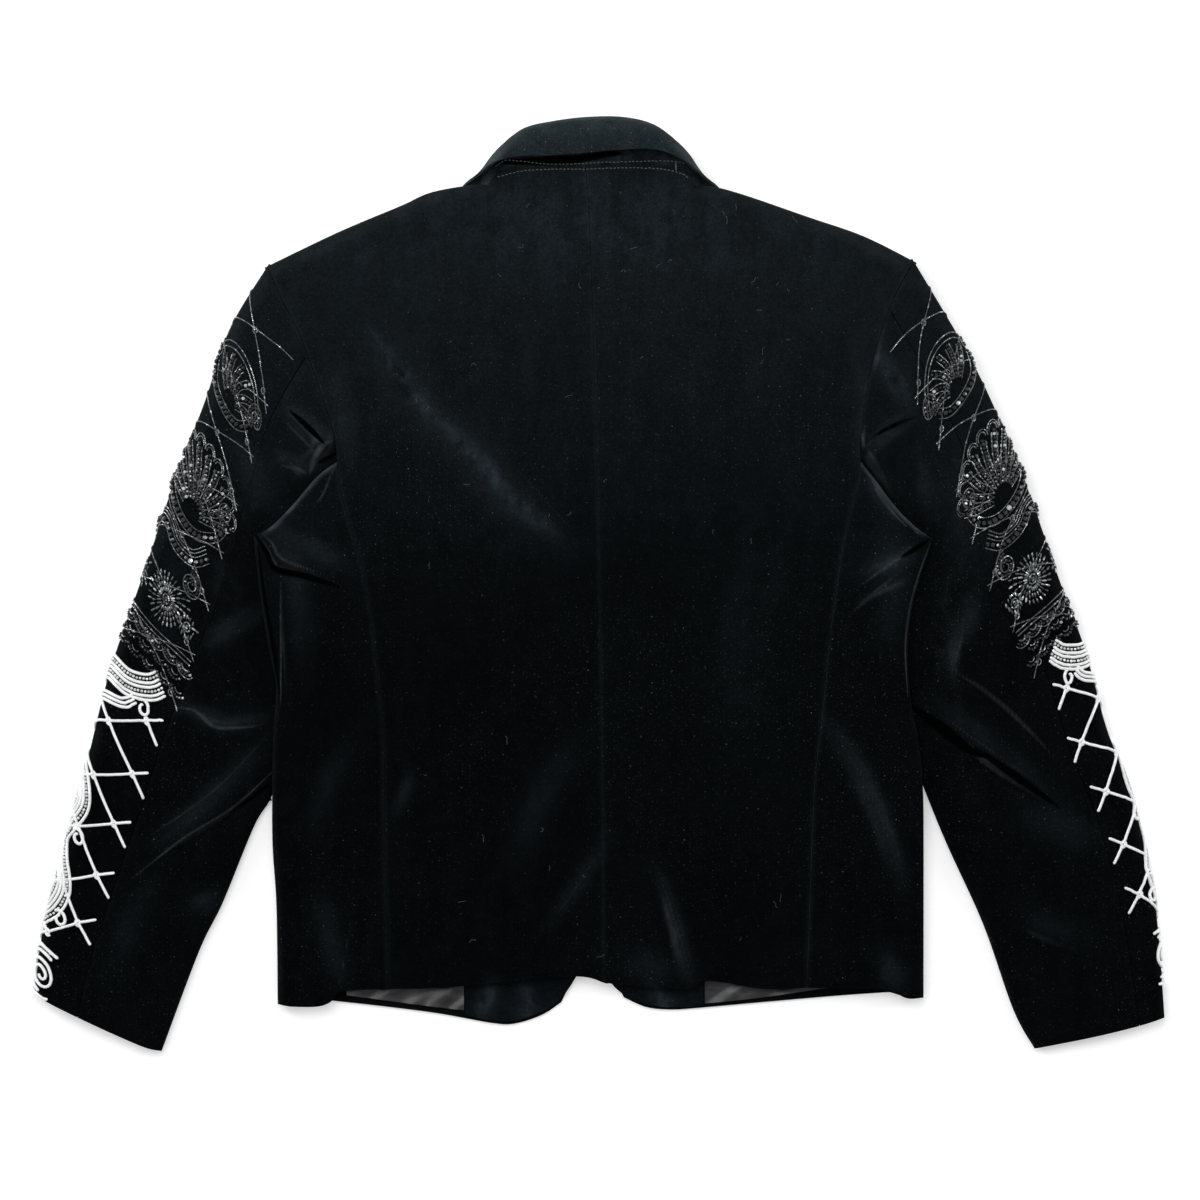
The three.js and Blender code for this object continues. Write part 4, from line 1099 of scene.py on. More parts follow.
def pile_group():
    """Velvet pile: patches, fine streaks, grain and specks of lint, mixed towards the lighter colour by the
    marks the mesh carries, partly pile laid over and partly painted highlights and sheen.
    """
    if "Velvet pile" in bpy.data.node_groups:
        return bpy.data.node_groups["Velvet pile"]
    group = bpy.data.node_groups.new("Velvet pile", "ShaderNodeTree")
    # The lighter colour and its share stand for pile laid over and for painted highlights and sheen
    for way, label, kind in (
        ("INPUT", "Deep", "Color"),
        ("INPUT", "Brushed", "Color"),
        ("INPUT", "Lint", "Float"),
        ("INPUT", "Patchiness", "Float"),
        ("INPUT", "Brushed over", "Float"),
        ("OUTPUT", "Color", "Color"),
        ("OUTPUT", "Roughness", "Float"),
        ("OUTPUT", "Height", "Float"),
        ("OUTPUT", "Crush", "Float"),
    ):
        group.interface.new_socket(label, in_out=way, socket_type="NodeSocket" + kind)
    given = group.nodes.new("NodeGroupInput").outputs
    end = group.nodes.new("NodeGroupOutput")
    tree = Shading(group)
    math_node, times, plus, ranged, noise = tree.math, tree.times, tree.plus, tree.ranged, tree.noise

    place = tree.place()
    patches = ranged(noise(place, 7, 3, 0.55), 0.4, 0.7)
    crushed = ranged(noise(place, 60, 4, 0.62), 0.38, 0.68)
    streaks = ranged(noise(tree.mapped(place, 24, (60, 10, 30)), 1.0, 4, 0.6), 0.38, 0.7)
    grain = noise(place, 1500, 2, 0.5)
    finer = noise(place, 380, 3, 0.6)

    # Noise marks show most where the mesh carries marks of laid-over pile and painted highlights; elsewhere
    # they are slight.
    marked = math_node("SUBTRACT", plus(times(crushed, 0.55), times(streaks, 0.5)), 0.5)
    marked = times(marked, math_node("MINIMUM", given["Patchiness"], 1.0))
    marked = times(marked, ranged(given["Brushed over"], 0.3, 0.85, 0.16, 1.0))
    marked = times(plus(marked, 0.75), given["Brushed over"])
    slight = plus(plus(times(patches, 0.02), times(crushed, 0.024)), times(streaks, 0.02))
    highlit_nap = plus(marked, times(slight, given["Patchiness"]))
    rough = math_node("SUBTRACT", plus(times(grain, 1.1), times(finer, 0.9)), 0.35)
    highlit_nap = times(highlit_nap, math_node("MAXIMUM", rough, 0.1), clamp=True)
    pile = tree.blend(highlit_nap, given["Deep"], given["Brushed"])

    lint = 0.0
    for scale, widest, strength in LINT:
        specks = tree.add(
            "TexVoronoi", {"Vector": place, "Scale": scale}, feature="F1", voronoi_dimensions="2D",
        ).outputs
        luck = tree.add("SeparateColor", {"Color": specks["Color"]}).outputs
        reach = times(math_node("POWER", luck["Red"], 2.4), widest)
        speck = times(math_node("LESS_THAN", specks["Distance"], reach), times(luck["Green"], strength))
        lint = math_node("MAXIMUM", lint, speck)
    lint = times(times(lint, ranged(noise(place, 6), 0.3, 0.7, 0.25, 1.0)), given["Lint"], clamp=True)

    tree.fill(end, {
        "Color": tree.blend(lint, pile, LINT_COLOUR),
        "Roughness": ranged(highlit_nap, 0, 1, 1.0, 0.75),
        "Crush": plus(times(crushed, 0.5), 0.6),
        "Height": plus(plus(times(grain, 0.5), times(crushed, 0.5)), times(lint, 0.8)),
    })
    return group


def bare_material(name):
    """A new material, its tree and its own shader node."""
    made = bpy.data.materials.new(name)
    made.use_nodes = True
    tree = Shading(made.node_tree)
    return made, tree, next(n for n in tree.nodes if n.type == "BSDF_PRINCIPLED")


def velvet_material(name, patchiness=1.0, lint=1.0, sheen=None):
    colours = bpy.context.scene.blazer_colours
    made, tree, shader = bare_material(name)
    pile = tree.add("Group", node_tree=pile_group())
    tree.fill(pile, {
        "Deep": solid(colours.velvet_deep),
        "Brushed": solid(colours.velvet_brushed),
        "Lint": lint,
        "Patchiness": patchiness,
        "Brushed over": tree.carried("brushed_and_highlit"),
    })
    normal = tree.bump(pile.outputs["Height"], 0.5, 0.0006)
    crush = pile.outputs["Crush"]

    # Painted light on the folds: a slope seen from the side takes the paler slope colour, most where it
    # faces up and to the left, towards the light.
    slope = tree.add("LayerWeight", {"Blend": 0.5, "Normal": normal}).outputs["Facing"]
    lean = tree.add("VectorMath", {0: normal, 1: (-0.5, 0.86, 0)}, operation="DOT_PRODUCT").outputs["Value"]
    towards = tree.ranged(lean, -0.42, 0.3, 0.16, curve="LINEAR")
    lit = tree.times(tree.ranged(slope, 0.012, 0.3), towards)
    lit = tree.times(tree.times(lit, tree.carried("slope_light_share")), crush)
    # Painted highlight along the ridges of folds
    highlight_mask = tree.times(tree.ranged(tree.carried("highlight_painted"), 0.0, 0.8), crush)
    # The paler slope colour is painted light on lit slopes and ridges
    raised = tree.blend(
        tree.math("MAXIMUM", lit, highlight_mask), pile.outputs["Color"], solid(colours.velvet_slope),
    )
    # Painted shade in the hollows of folds, nearly black
    shade_mask = tree.ranged(tree.carried("shade_painted"), 0.08, 0.5)
    tree.fill(shader, {
        "Base Color": tree.blend(shade_mask, raised, PAINTED_SHADE_COLOUR),
        "Roughness": pile.outputs["Roughness"],
        "Normal": normal,
        "Specular IOR Level": 0.022,
        "Sheen Weight": bpy.context.scene.blazer_cloth.sheen if sheen is None else sheen,
        "Sheen Roughness": 0.34,
        "Sheen Tint": solid(colours.velvet_sheen),
    })
    return made


def satin_material():
    """Threads across the cloth, and slanted streaks of painted highlight and painted shade."""
    lining = bpy.context.scene.blazer_colours.lining
    made, tree, shader = bare_material("Grey satin lining")
    place = tree.place()
    threads = tree.noise(tree.mapped(place, 0, (1500, 300, 300)), 1)
    # Painted highlight and painted shade, in slanted streaks
    painted_streaks = tree.noise(tree.mapped(place, -34, (34, 92, 34)), 1, 5, distortion=1.2)
    tone = tree.ranged(painted_streaks, 0.36, 0.74, curve="LINEAR")
    tree.fill(shader, {
        "Base Color": tree.blend(tone, solid(lining, 0.3), solid(lining)),
        "Roughness": 0.33,
        "Specular IOR Level": 0.5,
        "Metallic": 0.3,
        "Normal": tree.bump(threads, 0.35, 0.0003),
    })
    return made


def bead_material(name, dark, light, roughness, metallic, glint):
    """Beads whose tone changes from one to the next, by the attribute that each carries; the lightest tones
    are partly painted glints.
    """
    made, tree, shader = bare_material(name)
    tone = tree.carried("bead_tone")
    tree.fill(shader, {
        "Base Color": tree.blend(tone, solid(dark), solid(light)),
        "Roughness": tree.ranged(tone, 0.0, 1.0, roughness, roughness * 0.45, "LINEAR"),
        "Metallic": metallic,
        "Specular IOR Level": 0.6,
        "Coat Weight": glint,
        "Coat Roughness": 0.06,
    })
    return made


def thread_material(name, colour, roughness=0.6):
    made, tree, shader = bare_material(name)
    twist = tree.noise(tree.place(), 900)
    base = tree.blend(twist, solid(colour, 0.6), solid(colour, 1.4))
    tree.fill(shader, {"Base Color": base, "Roughness": roughness})
    return made


MATERIALS = {}


def material(name):
    """Each finish is made once, when a piece first asks for it."""
    if name not in MATERIALS:
        colours = bpy.context.scene.blazer_colours
        MATERIALS[name] = {
            "velvet": lambda: velvet_material("Black velvet"),
            "brushed_and_highlit": lambda: velvet_material("Black velvet brushed", 2.4, 0.5, 0.3),
            "even": lambda: velvet_material("Black velvet of the collar", 0.3, 5.0, 0.08),
            "satin": satin_material,
            "jet": lambda: bead_material("Jet beads", colours.jet, colours.steel_and_painted_glint, 0.16, 0.35, 0.8),
            "white": lambda: bead_material(
                "White beads and cord", colours.pearl_shade, colours.pearl, 0.4, 0.0, 0.3,
            ),
            "thread": lambda: thread_material("Topstitching", colours.thread),
            "lint": lambda: thread_material("Lint", (0.12, 0.12, 0.11), 0.9),
            "button": lambda: thread_material("Button", (0.012, 0.013, 0.014), 0.35),
        }[name]()
    return MATERIALS[name]


# Beads

# How far in each design lies on each sleeve, and how much narrower it gets towards the cuff
PLACING = {
    "left": {"black": 4.0, "white": 1.0, "narrowed": 0.0},
    "right": {"black": 2.0, "white": -7.0, "narrowed": 0.24},
}


def bead_form():
    """The points and faces of one small bead, 1 across, with its hole along X."""
    deselect()
    along_x = (0, math.pi / 2, 0)
    bpy.ops.mesh.primitive_uv_sphere_add(segments=6, ring_count=4, radius=0.5, rotation=along_x)
    obj = bpy.context.object
    bpy.ops.object.transform_apply(location=True, rotation=True, scale=True)
    points = np.array([v.co[:] for v in obj.data.vertices])
    faces = [tuple(p.vertices) for p in obj.data.polygons]
    mesh = obj.data
    bpy.data.objects.remove(obj)
    bpy.data.meshes.remove(mesh)
    return points, faces


def solid_mesh(name, points, faces, finish):
    """An object from lists of points in millimetres and from faces."""
    mesh = bpy.data.meshes.new(name)
    mesh.from_pydata((np.concatenate(points) + SHIFT) * MM, [], faces)
    mesh.update()
    mesh.materials.append(material(finish))
    obj = bpy.data.objects.new(name, mesh)
    bpy.context.scene.collection.objects.link(obj)
    return obj


def lifted(groups):
    """Groups of points, each raised until it rests on the surface."""
    groups[..., 2] += np.maximum(-groups[..., 2].min(axis=1), 0)[:, None]
    return groups


def strand(points, radii, ups, sides=6):
    """The points and faces of a closed strand that passes through the points."""
    ahead = unit(np.gradient(points, axis=0))
    side = unit(np.cross(ups, ahead))
    up = np.cross(ahead, side)
    turn = np.arange(sides) * 2 * np.pi / sides
    ring = np.cos(turn)[None, :, None] * side[:, None] + np.sin(turn)[None, :, None] * up[:, None]
    laid = lifted(points[:, None] + ring * radii[:, None, None]).reshape(-1, 3)
    i, j = np.meshgrid(np.arange(len(points) - 1), np.arange(sides), indexing="ij")
    k = (j + 1) % sides
    near, far = i * sides, (i + 1) * sides
    walls = np.stack([near + j, near + k, far + k, far + j], axis=-1).reshape(-1, 4)
    last = (len(points) - 1) * sides
    ends = [tuple(range(sides - 1, -1, -1)), tuple(last + j for j in range(sides))]
    return laid, [tuple(face) for face in walls.tolist()] + ends


class BeadBoard:
    """Collects beads and cords laid on a sleeve, then makes them one mesh.

    A place on the sleeve is given as millimetres in from the outer fold and down from the shoulder."""

    STEP = 1.0
    WRAP, REACH = -34.0, 104.0

    def __init__(self, half, seed, form):
        self.luck = np.random.default_rng(seed)
        self.form = form
        self.sign = half["sign"]
        self.length = float(np.linalg.norm(np.diff(drawn(half["sleeve_outer"], 400), axis=0), axis=1).sum())
        around = np.concatenate([np.linspace(-0.55, 0, 90)[:-1], np.linspace(0, 0.8, 140)])
        down = np.linspace(0.002, 0.998, 320)
        points = sleeve(half).points(*grid(around, down))
        start = int(np.argmin(np.abs(around)))
        steps = np.linalg.norm(np.diff(points, axis=1), axis=2)
        reach = np.concatenate([np.zeros((len(down), 1)), np.cumsum(steps, axis=1)], axis=1)
        reach -= reach[:, start:start + 1]
        self.inward = np.arange(self.WRAP, self.REACH, self.STEP)
        self.table = np.array([
            [np.interp(self.inward, reach[i], points[i, :, k]) for k in range(3)] for i in range(len(down))
        ]).transpose(0, 2, 1)
        self.down = down
        self.points, self.faces, self.tones, self.count = [], [], [], 0

    def at(self, inward, along):
        """Places on the sleeve's surface."""
        column = np.clip((inward - self.WRAP) / self.STEP, 0, len(self.inward) - 1.001)
        step = self.down[1] - self.down[0]
        row = np.clip((along / self.length - self.down[0]) / step, 0, len(self.down) - 1.001)
        i, j = row.astype(int), column.astype(int)
        s, t = (row - i)[:, None], (column - j)[:, None]
        table = self.table
        near, far = (table[i, k] * (1 - s) + table[i + 1, k] * s for k in (j, j + 1))
        return near * (1 - t) + far * t

    def ups(self, spot):
        """The outward direction of the cloth."""
        across = self.at(spot[:, 0] + 1.5, spot[:, 1]) - self.at(spot[:, 0] - 1.5, spot[:, 1])
        down = self.at(spot[:, 0], spot[:, 1] + 2.5) - self.at(spot[:, 0], spot[:, 1] - 2.5)
        return unit(np.cross(across, down) * self.sign)

    def spots(self, path, pitch):
        """Places evenly spaced along a path."""
        path = np.asarray(path, float)
        path = drawn(path, 24 * len(path)) if len(path) > 2 else evenly(path, 30)
        places = self.at(path[:, 0], path[:, 1])
        reach = np.concatenate([[0], np.cumsum(np.linalg.norm(np.diff(places, axis=0), axis=1))])
        count = max(int(round(reach[-1] / pitch)), 1)
        middles = (np.arange(count) + 0.5) * reach[-1] / count
        return np.stack([np.interp(middles, reach, path[:, k]) for k in range(2)], 1)

    def keep(self, laid, faces, tones):
        self.points.append(laid)
        self.faces += [tuple(n + self.count for n in face) for face in faces]
        self.tones.append(tones)
        self.count += len(laid)

    def beads(self, path, width, length=None, gap=0.2, rise=0.0, tone=(0.0, 0.03), glint=0.05):
        """Single beads in a row along a path, some painted lighter as glints."""
        length = length or width
        spot = self.spots(path, length + gap)
        ahead = np.gradient(spot, axis=0) if len(spot) > 1 else np.array([[0.0, 1.0]])
        spot = spot + self.luck.normal(0, 0.12, spot.shape)
        centre, up = self.at(spot[:, 0], spot[:, 1]), self.ups(spot)
        direction = unit(self.at(*(spot + ahead * 0.2).T) - self.at(*(spot - ahead * 0.2).T))
        side = unit(np.cross(up, direction))
        roll = self.luck.uniform(0, np.pi, (len(spot), 1))
        first = side * np.cos(roll) + up * np.sin(roll)
        second = up * np.cos(roll) - side * np.sin(roll)
        form, faces = self.form
        size = np.array([length, width, width]) * self.luck.uniform(0.88, 1.05, (len(spot), 1))
        local = form[None] * size[:, None]
        turned = sum(local[:, :, k:k + 1] * a[:, None] for k, a in enumerate((direction, first, second)))
        laid = (centre + up * (width * 0.4 + rise))[:, None] + turned
        tones = self.luck.uniform(*tone, len(spot))
        # Painted glints: some beads take a light tone
        painted_glint = self.luck.random(len(spot)) < glint
        tones = np.where(painted_glint, self.luck.uniform(0.5, 1.0, len(spot)), tones)
        many = [tuple(n + i * len(form) for n in face) for i in range(len(spot)) for face in faces]
        self.keep(lifted(laid).reshape(-1, 3), many, np.repeat(tones, len(form)))

    def string(self, path, width=1.2, pitch=1.45, tone=(0.05, 0.26), glint=0.07, waist=0.5, sides=5):
        """Small beads threaded close together, each a swelling of one strand."""
        spot = self.spots(path, pitch / 2)
        if len(spot) < 3:
            return
        up = self.ups(spot)
        radii = np.where(np.arange(len(spot)) % 2, width / 2, width / 2 * waist)
        radii[0] = radii[-1] = width * 0.2
        laid, faces = strand(self.at(spot[:, 0], spot[:, 1]) + up * width * 0.38, radii, up, sides)
        tones = self.luck.uniform(*tone, len(spot) // 2 + 1)
        # Painted glints: some beads take a light tone
        painted_glint = self.luck.random(len(tones)) < glint
        tones = np.where(painted_glint, self.luck.uniform(0.6, 1.0, len(tones)), tones)
        self.keep(laid, faces, np.repeat(np.repeat(tones, 2)[:len(spot)], sides))

    def cord(self, path, width=2.7, tone=(0.8, 1.0)):
        """A thick white cord, twisted, laid on the cloth."""
        self.string(path, width, 1.7, tone, 0, 0.86, 7)

    def band(self, path, width=6.0, **values):
        """A row of cut beads between two strings."""
        self.string(beside(path, width / 2))
        self.string(beside(path, -width / 2))
        self.beads(path, width - 2.3, gap=0.1, **values)

    def ring(self, inward, along, radius, **values):
        turn = np.linspace(0, 2 * np.pi, 11)
        self.string(np.stack([inward + radius * np.cos(turn), along + radius * np.sin(turn)], 1), **values)

    def knot(self, inward, along):
        """A round white boss of cord."""
        self.string(spiral(inward, along, 3.0, 2.0, inner=0.5), 1.9, 1.6, (0.8, 1.0), 0, 0.8, 6)

    def make(self, name, finish):
        obj = solid_mesh(name, self.points, self.faces, finish)
        shade = obj.data.attributes.new("bead_tone", "FLOAT", "POINT")
        shade.data.foreach_set("value", np.concatenate(self.tones))
        return obj


def arc(inward, along, radius, start, end, count=9, squash=1.0):
    """Points on a round, angles in degrees from straight in, turning down the sleeve."""
    turn = np.radians(np.linspace(start, end, count))
    return np.stack([inward + radius * np.cos(turn), along + squash * radius * np.sin(turn)], 1)


def spiral(inward, along, radius, turns, start=0.0, inner=2.0):
    turn = np.linspace(0, 1, int(12 * turns) + 2)
    angle = np.radians(start) + turn * turns * 2 * np.pi
    reach = mix(radius, inner, turn)
    return np.stack([inward + reach * np.cos(angle), along + reach * np.sin(angle)], 1)


def beside(path, offset):
    """A path that keeps the same distance from another."""
    path = np.asarray(path, float)
    path = drawn(path, 12 * len(path)) if len(path) > 2 else evenly(path, 12)
    step = unit(np.gradient(path, axis=0))
    return (path + offset * np.stack([-step[:, 1], step[:, 0]], 1))[::4]


def ray(centre, angle, near, far, bend=0.0):
    """A slightly bent line outwards from a centre."""
    turns = np.radians(angle + bend * np.array([0.0, 0.35, 1.0]))
    reach = np.array([near, (near + far) / 2, far])
    return np.stack([centre[0] + reach * np.cos(turns), centre[1] + reach * np.sin(turns)], 1)


def placing(side, part):
    """Moves and narrows the design to where it lies on each sleeve."""
    inner, narrow = PLACING[side][part], PLACING[side]["narrowed"]

    def place(points):
        points = np.asarray(points, float)
        less = 1 - narrow * ramp(210, 320, points[:, 1])
        return np.stack([points[:, 0] * less + inner, points[:, 1]], 1)

    return place


def black_design(board, place):
    """Net, shell, waves, starbursts and scallops in jet, all of common ornament."""

    # Net with ring knots
    for start in range(14, 300, 44):
        board.string(place([(-18, start + 4), (14, start + 17), (42, start + 30), (72, start + 52)]))
        board.string(place([(72, start + 2), (42, start + 14), (14, start + 27), (-18, start + 44)]))
        for knot in ((27, start + 22), (-10, start + 40), (60, start + 44)):
            board.ring(*place([knot])[0], 2.2, tone=(0.1, 0.35))

    # Small shell at the top, its ribs bent
    for angle in np.linspace(215, 330, 6):
        board.band(place(ray((30, 96), angle, 8, 34, 14)), 5.2)
    for radius in (36, 40):
        board.string(place(arc(30, 96, radius, 215, 344, 15)))
    board.band(place([(0, 84), (8, 98), (24, 104), (44, 102), (58, 90)]), 6.6)
    board.band(place(spiral(63, 80, 9, 1.1, 120)), 5.2)
    board.band(place(spiral(-3, 76, 8, 1.1, 60)), 5.2)

    # Great shell
    for angle in np.linspace(198, 342, 10):
        board.band(place(ray((28, 192), angle, 9, 50, -8)), 5.4)
        for side in (-4.2, 4.2):
            board.beads(
                place(ray((28, 192), angle + side, 22, 46, -8)), 1.5, 3.4, tone=(0.02, 0.2), glint=0.1,
            )
    for angle in np.linspace(196, 328, 10):
        tip = (28 + 50 * math.cos(math.radians(angle)), 192 + 50 * math.sin(math.radians(angle)))
        for radius in (6.2, 4.2):
            board.string(place(arc(*tip, radius, angle - 110, angle + 110, 9)))
    board.band(place([(-12, 176), (2, 192), (20, 202), (40, 202), (58, 190), (66, 174)]), 7.0)
    board.band(place(spiral(62, 166, 8, 1.0, 60)), 5.0)

    # Waves
    wave = [(58, 208), (44, 222), (24, 224), (8, 216), (-6, 222), (-14, 238)]
    board.band(place(wave), 6.6)
    for offset in (6, 8.4):
        board.string(place(beside(wave, offset)))
    board.band(place(spiral(48, 238, 10, 1.3, 250)), 5.0)

    # Starbursts of long beads
    for centre, reach, rays in (((30, 264), 27, 26), ((-4, 262), 15, 15), ((56, 268), 13, 13)):
        for angle in np.linspace(0, 360, rays, endpoint=False):
            far = reach * ray_share(angle)
            board.beads(place(ray(centre, angle, 5, far, 8)), 1.7, 4.2, tone=(0.02, 0.26), glint=0.12)
        for radius in (3.4, 1.2):
            board.ring(*place([centre])[0], radius, width=1.8)

    # Scallops that close the black part
    for row, along in enumerate((294, 304, 314)):
        for k in range(6):
            middle = 66 - 16 * k - (8 if row % 2 else 0)
            scallop = arc(middle, along, 7.6, 14, 166, 8, 0.85)
            if row == 0:
                board.band(place(scallop), 4.8)
            else:
                board.beads(place(scallop), 2.6)
            board.string(place(arc(middle, along, 4.0, 14, 166, 7, 0.85)))
    for along in (288, 291.5):
        board.string(place([(70, along), (28, along + 2), (-16, along)]))


def ray_share(angle):
    """Rays that are long and short by turns."""
    return 1.0 if int(round(angle / 7)) % 2 else 0.74


def white_design(board, place):
    """Fans of parallel cords, lattice with round knots, a running vine and a volute in white."""

    def bundle(spine, offsets, stones=()):
        for k, offset in enumerate(offsets):
            if k in stones:
                board.beads(
                    place(beside(spine, offset)), 2.5, gap=0.3, tone=(0.15, 0.6), glint=0.3, rise=0.3,
                )
            else:
                board.cord(place(beside(spine, offset)))

    # Wave bundles
    bundle([(-16, 352), (2, 344), (24, 342), (44, 332), (54, 320)], (-9, -6, -3, 0, 3, 6, 9), (1, 4))
    bundle([(-14, 372), (6, 366), (26, 358), (36, 346)], (-3, 0, 3))
    board.cord(place(spiral(44, 350, 7, 1.2, 200)))

    # Lattice
    knots = [
        (50, 356), (16, 380), (48, 402), (14, 426), (42, 448), (12, 470), (38, 494), (10, 516), (32, 538),
        (8, 560),
    ]
    for a, b in zip(knots, knots[1:]):
        board.cord(place([a, b]), 2.5)
    for x, y in knots:
        reach, slope = (-32, 0.68) if x < 20 else (15, 0.75)
        for turn in (-1, 1):
            rise = turn * abs(reach) * slope
            board.cord(place([(x, y), (x + reach / 2, y + rise / 2), (x + reach, y + rise)]), 2.5)
        board.knot(*place([(x, y)])[0])

    # Running vine
    vine = [
        (-10, 424), (2, 436), (8, 452), (2, 470), (-4, 486), (2, 504), (10, 520), (6, 538), (-4, 552),
        (-8, 564),
    ]
    bundle(vine, (-9, -6, -3, 0, 3, 6, 9), (1, 5))
    for centre, turn in (((-9, 446), 20), ((14, 478), 200), ((-9, 512), 20), ((16, 544), 200)):
        board.cord(place(spiral(centre[0], centre[1], 6.5, 1.2, turn)), 2.8)

    # Volute at the cuff
    board.cord(place([(-14, 574), (4, 572), (22, 574)]))
    board.cord(place(spiral(8, 594, 14, 2.2, 90)))
    board.cord(place(arc(8, 594, 17.6, 60, 300, 15)))
    board.beads(place(arc(8, 594, 21, 70, 290, 15)), 2.5, gap=0.3, tone=(0.15, 0.6), glint=0.3)
    board.cord(place([(-14, 617), (4, 616), (20, 615)]))


def beadwork(part, design, seed, finish, node):
    """Lays one design on both sleeves and stands it in for the raised bands."""
    form = bead_form()
    for side, half in HALVES.items():
        board = BeadBoard(half, seed + half["sign"], form)
        design(board, placing(side, part))
        stand_in(board.make(f"{finish}_beadwork_{side}", finish), f"{part}_beads", f"{node}_{side}")


# Settings that a user would change

def size(label, words, default, **values):
    return bpy.props.FloatProperty(name=label, description=words, default=default, **values)


def colour(label, words, default):
    return bpy.props.FloatVectorProperty(
        name=label, description=words, default=default, size=3, min=0, max=1, subtype="COLOR",
    )


class BlazerCloth(bpy.types.PropertyGroup):
    """How the velvet is built."""

    mesh_step: size(
        "Mesh step", "Distance between the points of a panel, in millimetres", 2.0, min=1.5, max=12,
    )
    fold_depth: size("Fold depth", "How deep the folds are, where 1 is as they lie", 1.0, min=0, max=2)
    thickness: size(
        "Velvet thickness", "Thickness of velvet and backing", 0.0019, min=0.0005, max=0.004, unit="LENGTH",
        precision=5,
    )
    lining_thickness: size(
        "Lining thickness", "Thickness of a facing or lining", 0.0011, min=0.0003, max=0.003, unit="LENGTH",
        precision=5,
    )
    sheen: size(
        "Sheen", "How strongly the pile lights up where it is seen sideways", 0.032, min=0, max=1,
        subtype="FACTOR",
    )


class BlazerColours(bpy.types.PropertyGroup):
    """Colours of cloth, thread and beads."""

    velvet_deep: colour("Velvet, deep", "Pile seen from its tip", (0.0007, 0.001, 0.0012))
    # Lighter pile colour, for pile laid over and for painted highlights and sheen
    velvet_brushed: colour("Velvet, brushed", "Pile brushed over", (0.025, 0.036, 0.043))
    # Colour of the painted light on the slopes of folds
    velvet_slope: colour(
        "Velvet, slopes", "Pile seen from the side, on the slope of a fold", (0.04, 0.05, 0.056),
    )
    velvet_sheen: colour("Velvet, sheen", "Light along the folds", (0.62, 0.72, 0.76))
    lining: colour("Lining", "Grey satin", (0.05, 0.049, 0.052))
    thread: colour("Topstitching", "Thread at the neck seam", (0.075, 0.088, 0.085))
    jet: colour("Jet", "Black beads", (0.0035, 0.004, 0.0045))
    # Silver-grey of the threaded beads and colour of their painted glints
    steel_and_painted_glint: colour("Steel", "Black beads that catch the light", (0.72, 0.78, 0.8))
    pearl: colour("White beads", "White beads and cord", (0.93, 0.94, 0.94))
    pearl_shade: colour("Shaded white beads", "Duller white beads", (0.42, 0.45, 0.45))


class BlazerStage(bpy.types.PropertyGroup):
    """Camera, floor and lights."""

    camera_height: size(
        "Camera height", "Height of the camera over the floor", 6.0, min=1, max=20, unit="LENGTH",
    )
    view_width: size(
        "View width", "Width that the camera sees at the blazer", 0.96, min=0.2, max=4, unit="LENGTH",
    )
    floor: colour("Floor", "Pale studio floor", (0.9, 0.9, 0.9))
    key: size("Key light", "Power of the soft overhead light", 38, min=0, max=1000, unit="POWER")
    rake: size(
        "Raking light", "Power of the low light that draws the folds", 30, min=0, max=1000, unit="POWER",
    )
    daylight: size("Daylight", "Strength of the even light from all round", 0.42, min=0, max=10)


# Operators, one for each piece or group of like pieces

class BLAZER_OT_backs(bpy.types.Operator):
    """Two back panels, joined at the centre back seam"""

    bl_idname = "blazer.backs"
    bl_label = "Back panels"

    def execute(self, context):
        for side, half in HALVES.items():
            rims = [turning_line(half), drawn(half["hem_back"], 20), drawn(half["neck"], 20)]
            lie = {"nap_and_highlights": BODY_NAP_AND_HIGHLIGHTS, "least": 0.015, "rims": rims, "part": "body"}
            panel(f"velvet_back_{side}", back_points(half), [f"front_{side}"], UP, **lie)
        return {"FINISHED"}


class BLAZER_OT_sides(bpy.types.Operator):
    """Two side panels that turn round the folded sides"""

    bl_idname = "blazer.sides"
    bl_label = "Side panels"

    def execute(self, context):
        for side, half in HALVES.items():
            rims = [joined(half["body_edge"]), drawn(half["hem_side"], 20)]
            lie = {"nap_and_highlights": BODY_NAP_AND_HIGHLIGHTS, "least": 0.01, "rims": rims, "part": "body"}
            panel(f"velvet_side_{side}", side_points(half), [f"front_{side}"], **lie)
        return {"FINISHED"}


class BLAZER_OT_fronts(bpy.types.Operator):
    """Two fronts that lie on the floor, with curved lower edges"""

    bl_idname = "blazer.fronts"
    bl_label = "Fronts"

    def execute(self, context):
        for side, half in HALVES.items():
            panel(f"velvet_front_{side}", front_points(half), ["studio_floor"], DOWN)
        return {"FINISHED"}


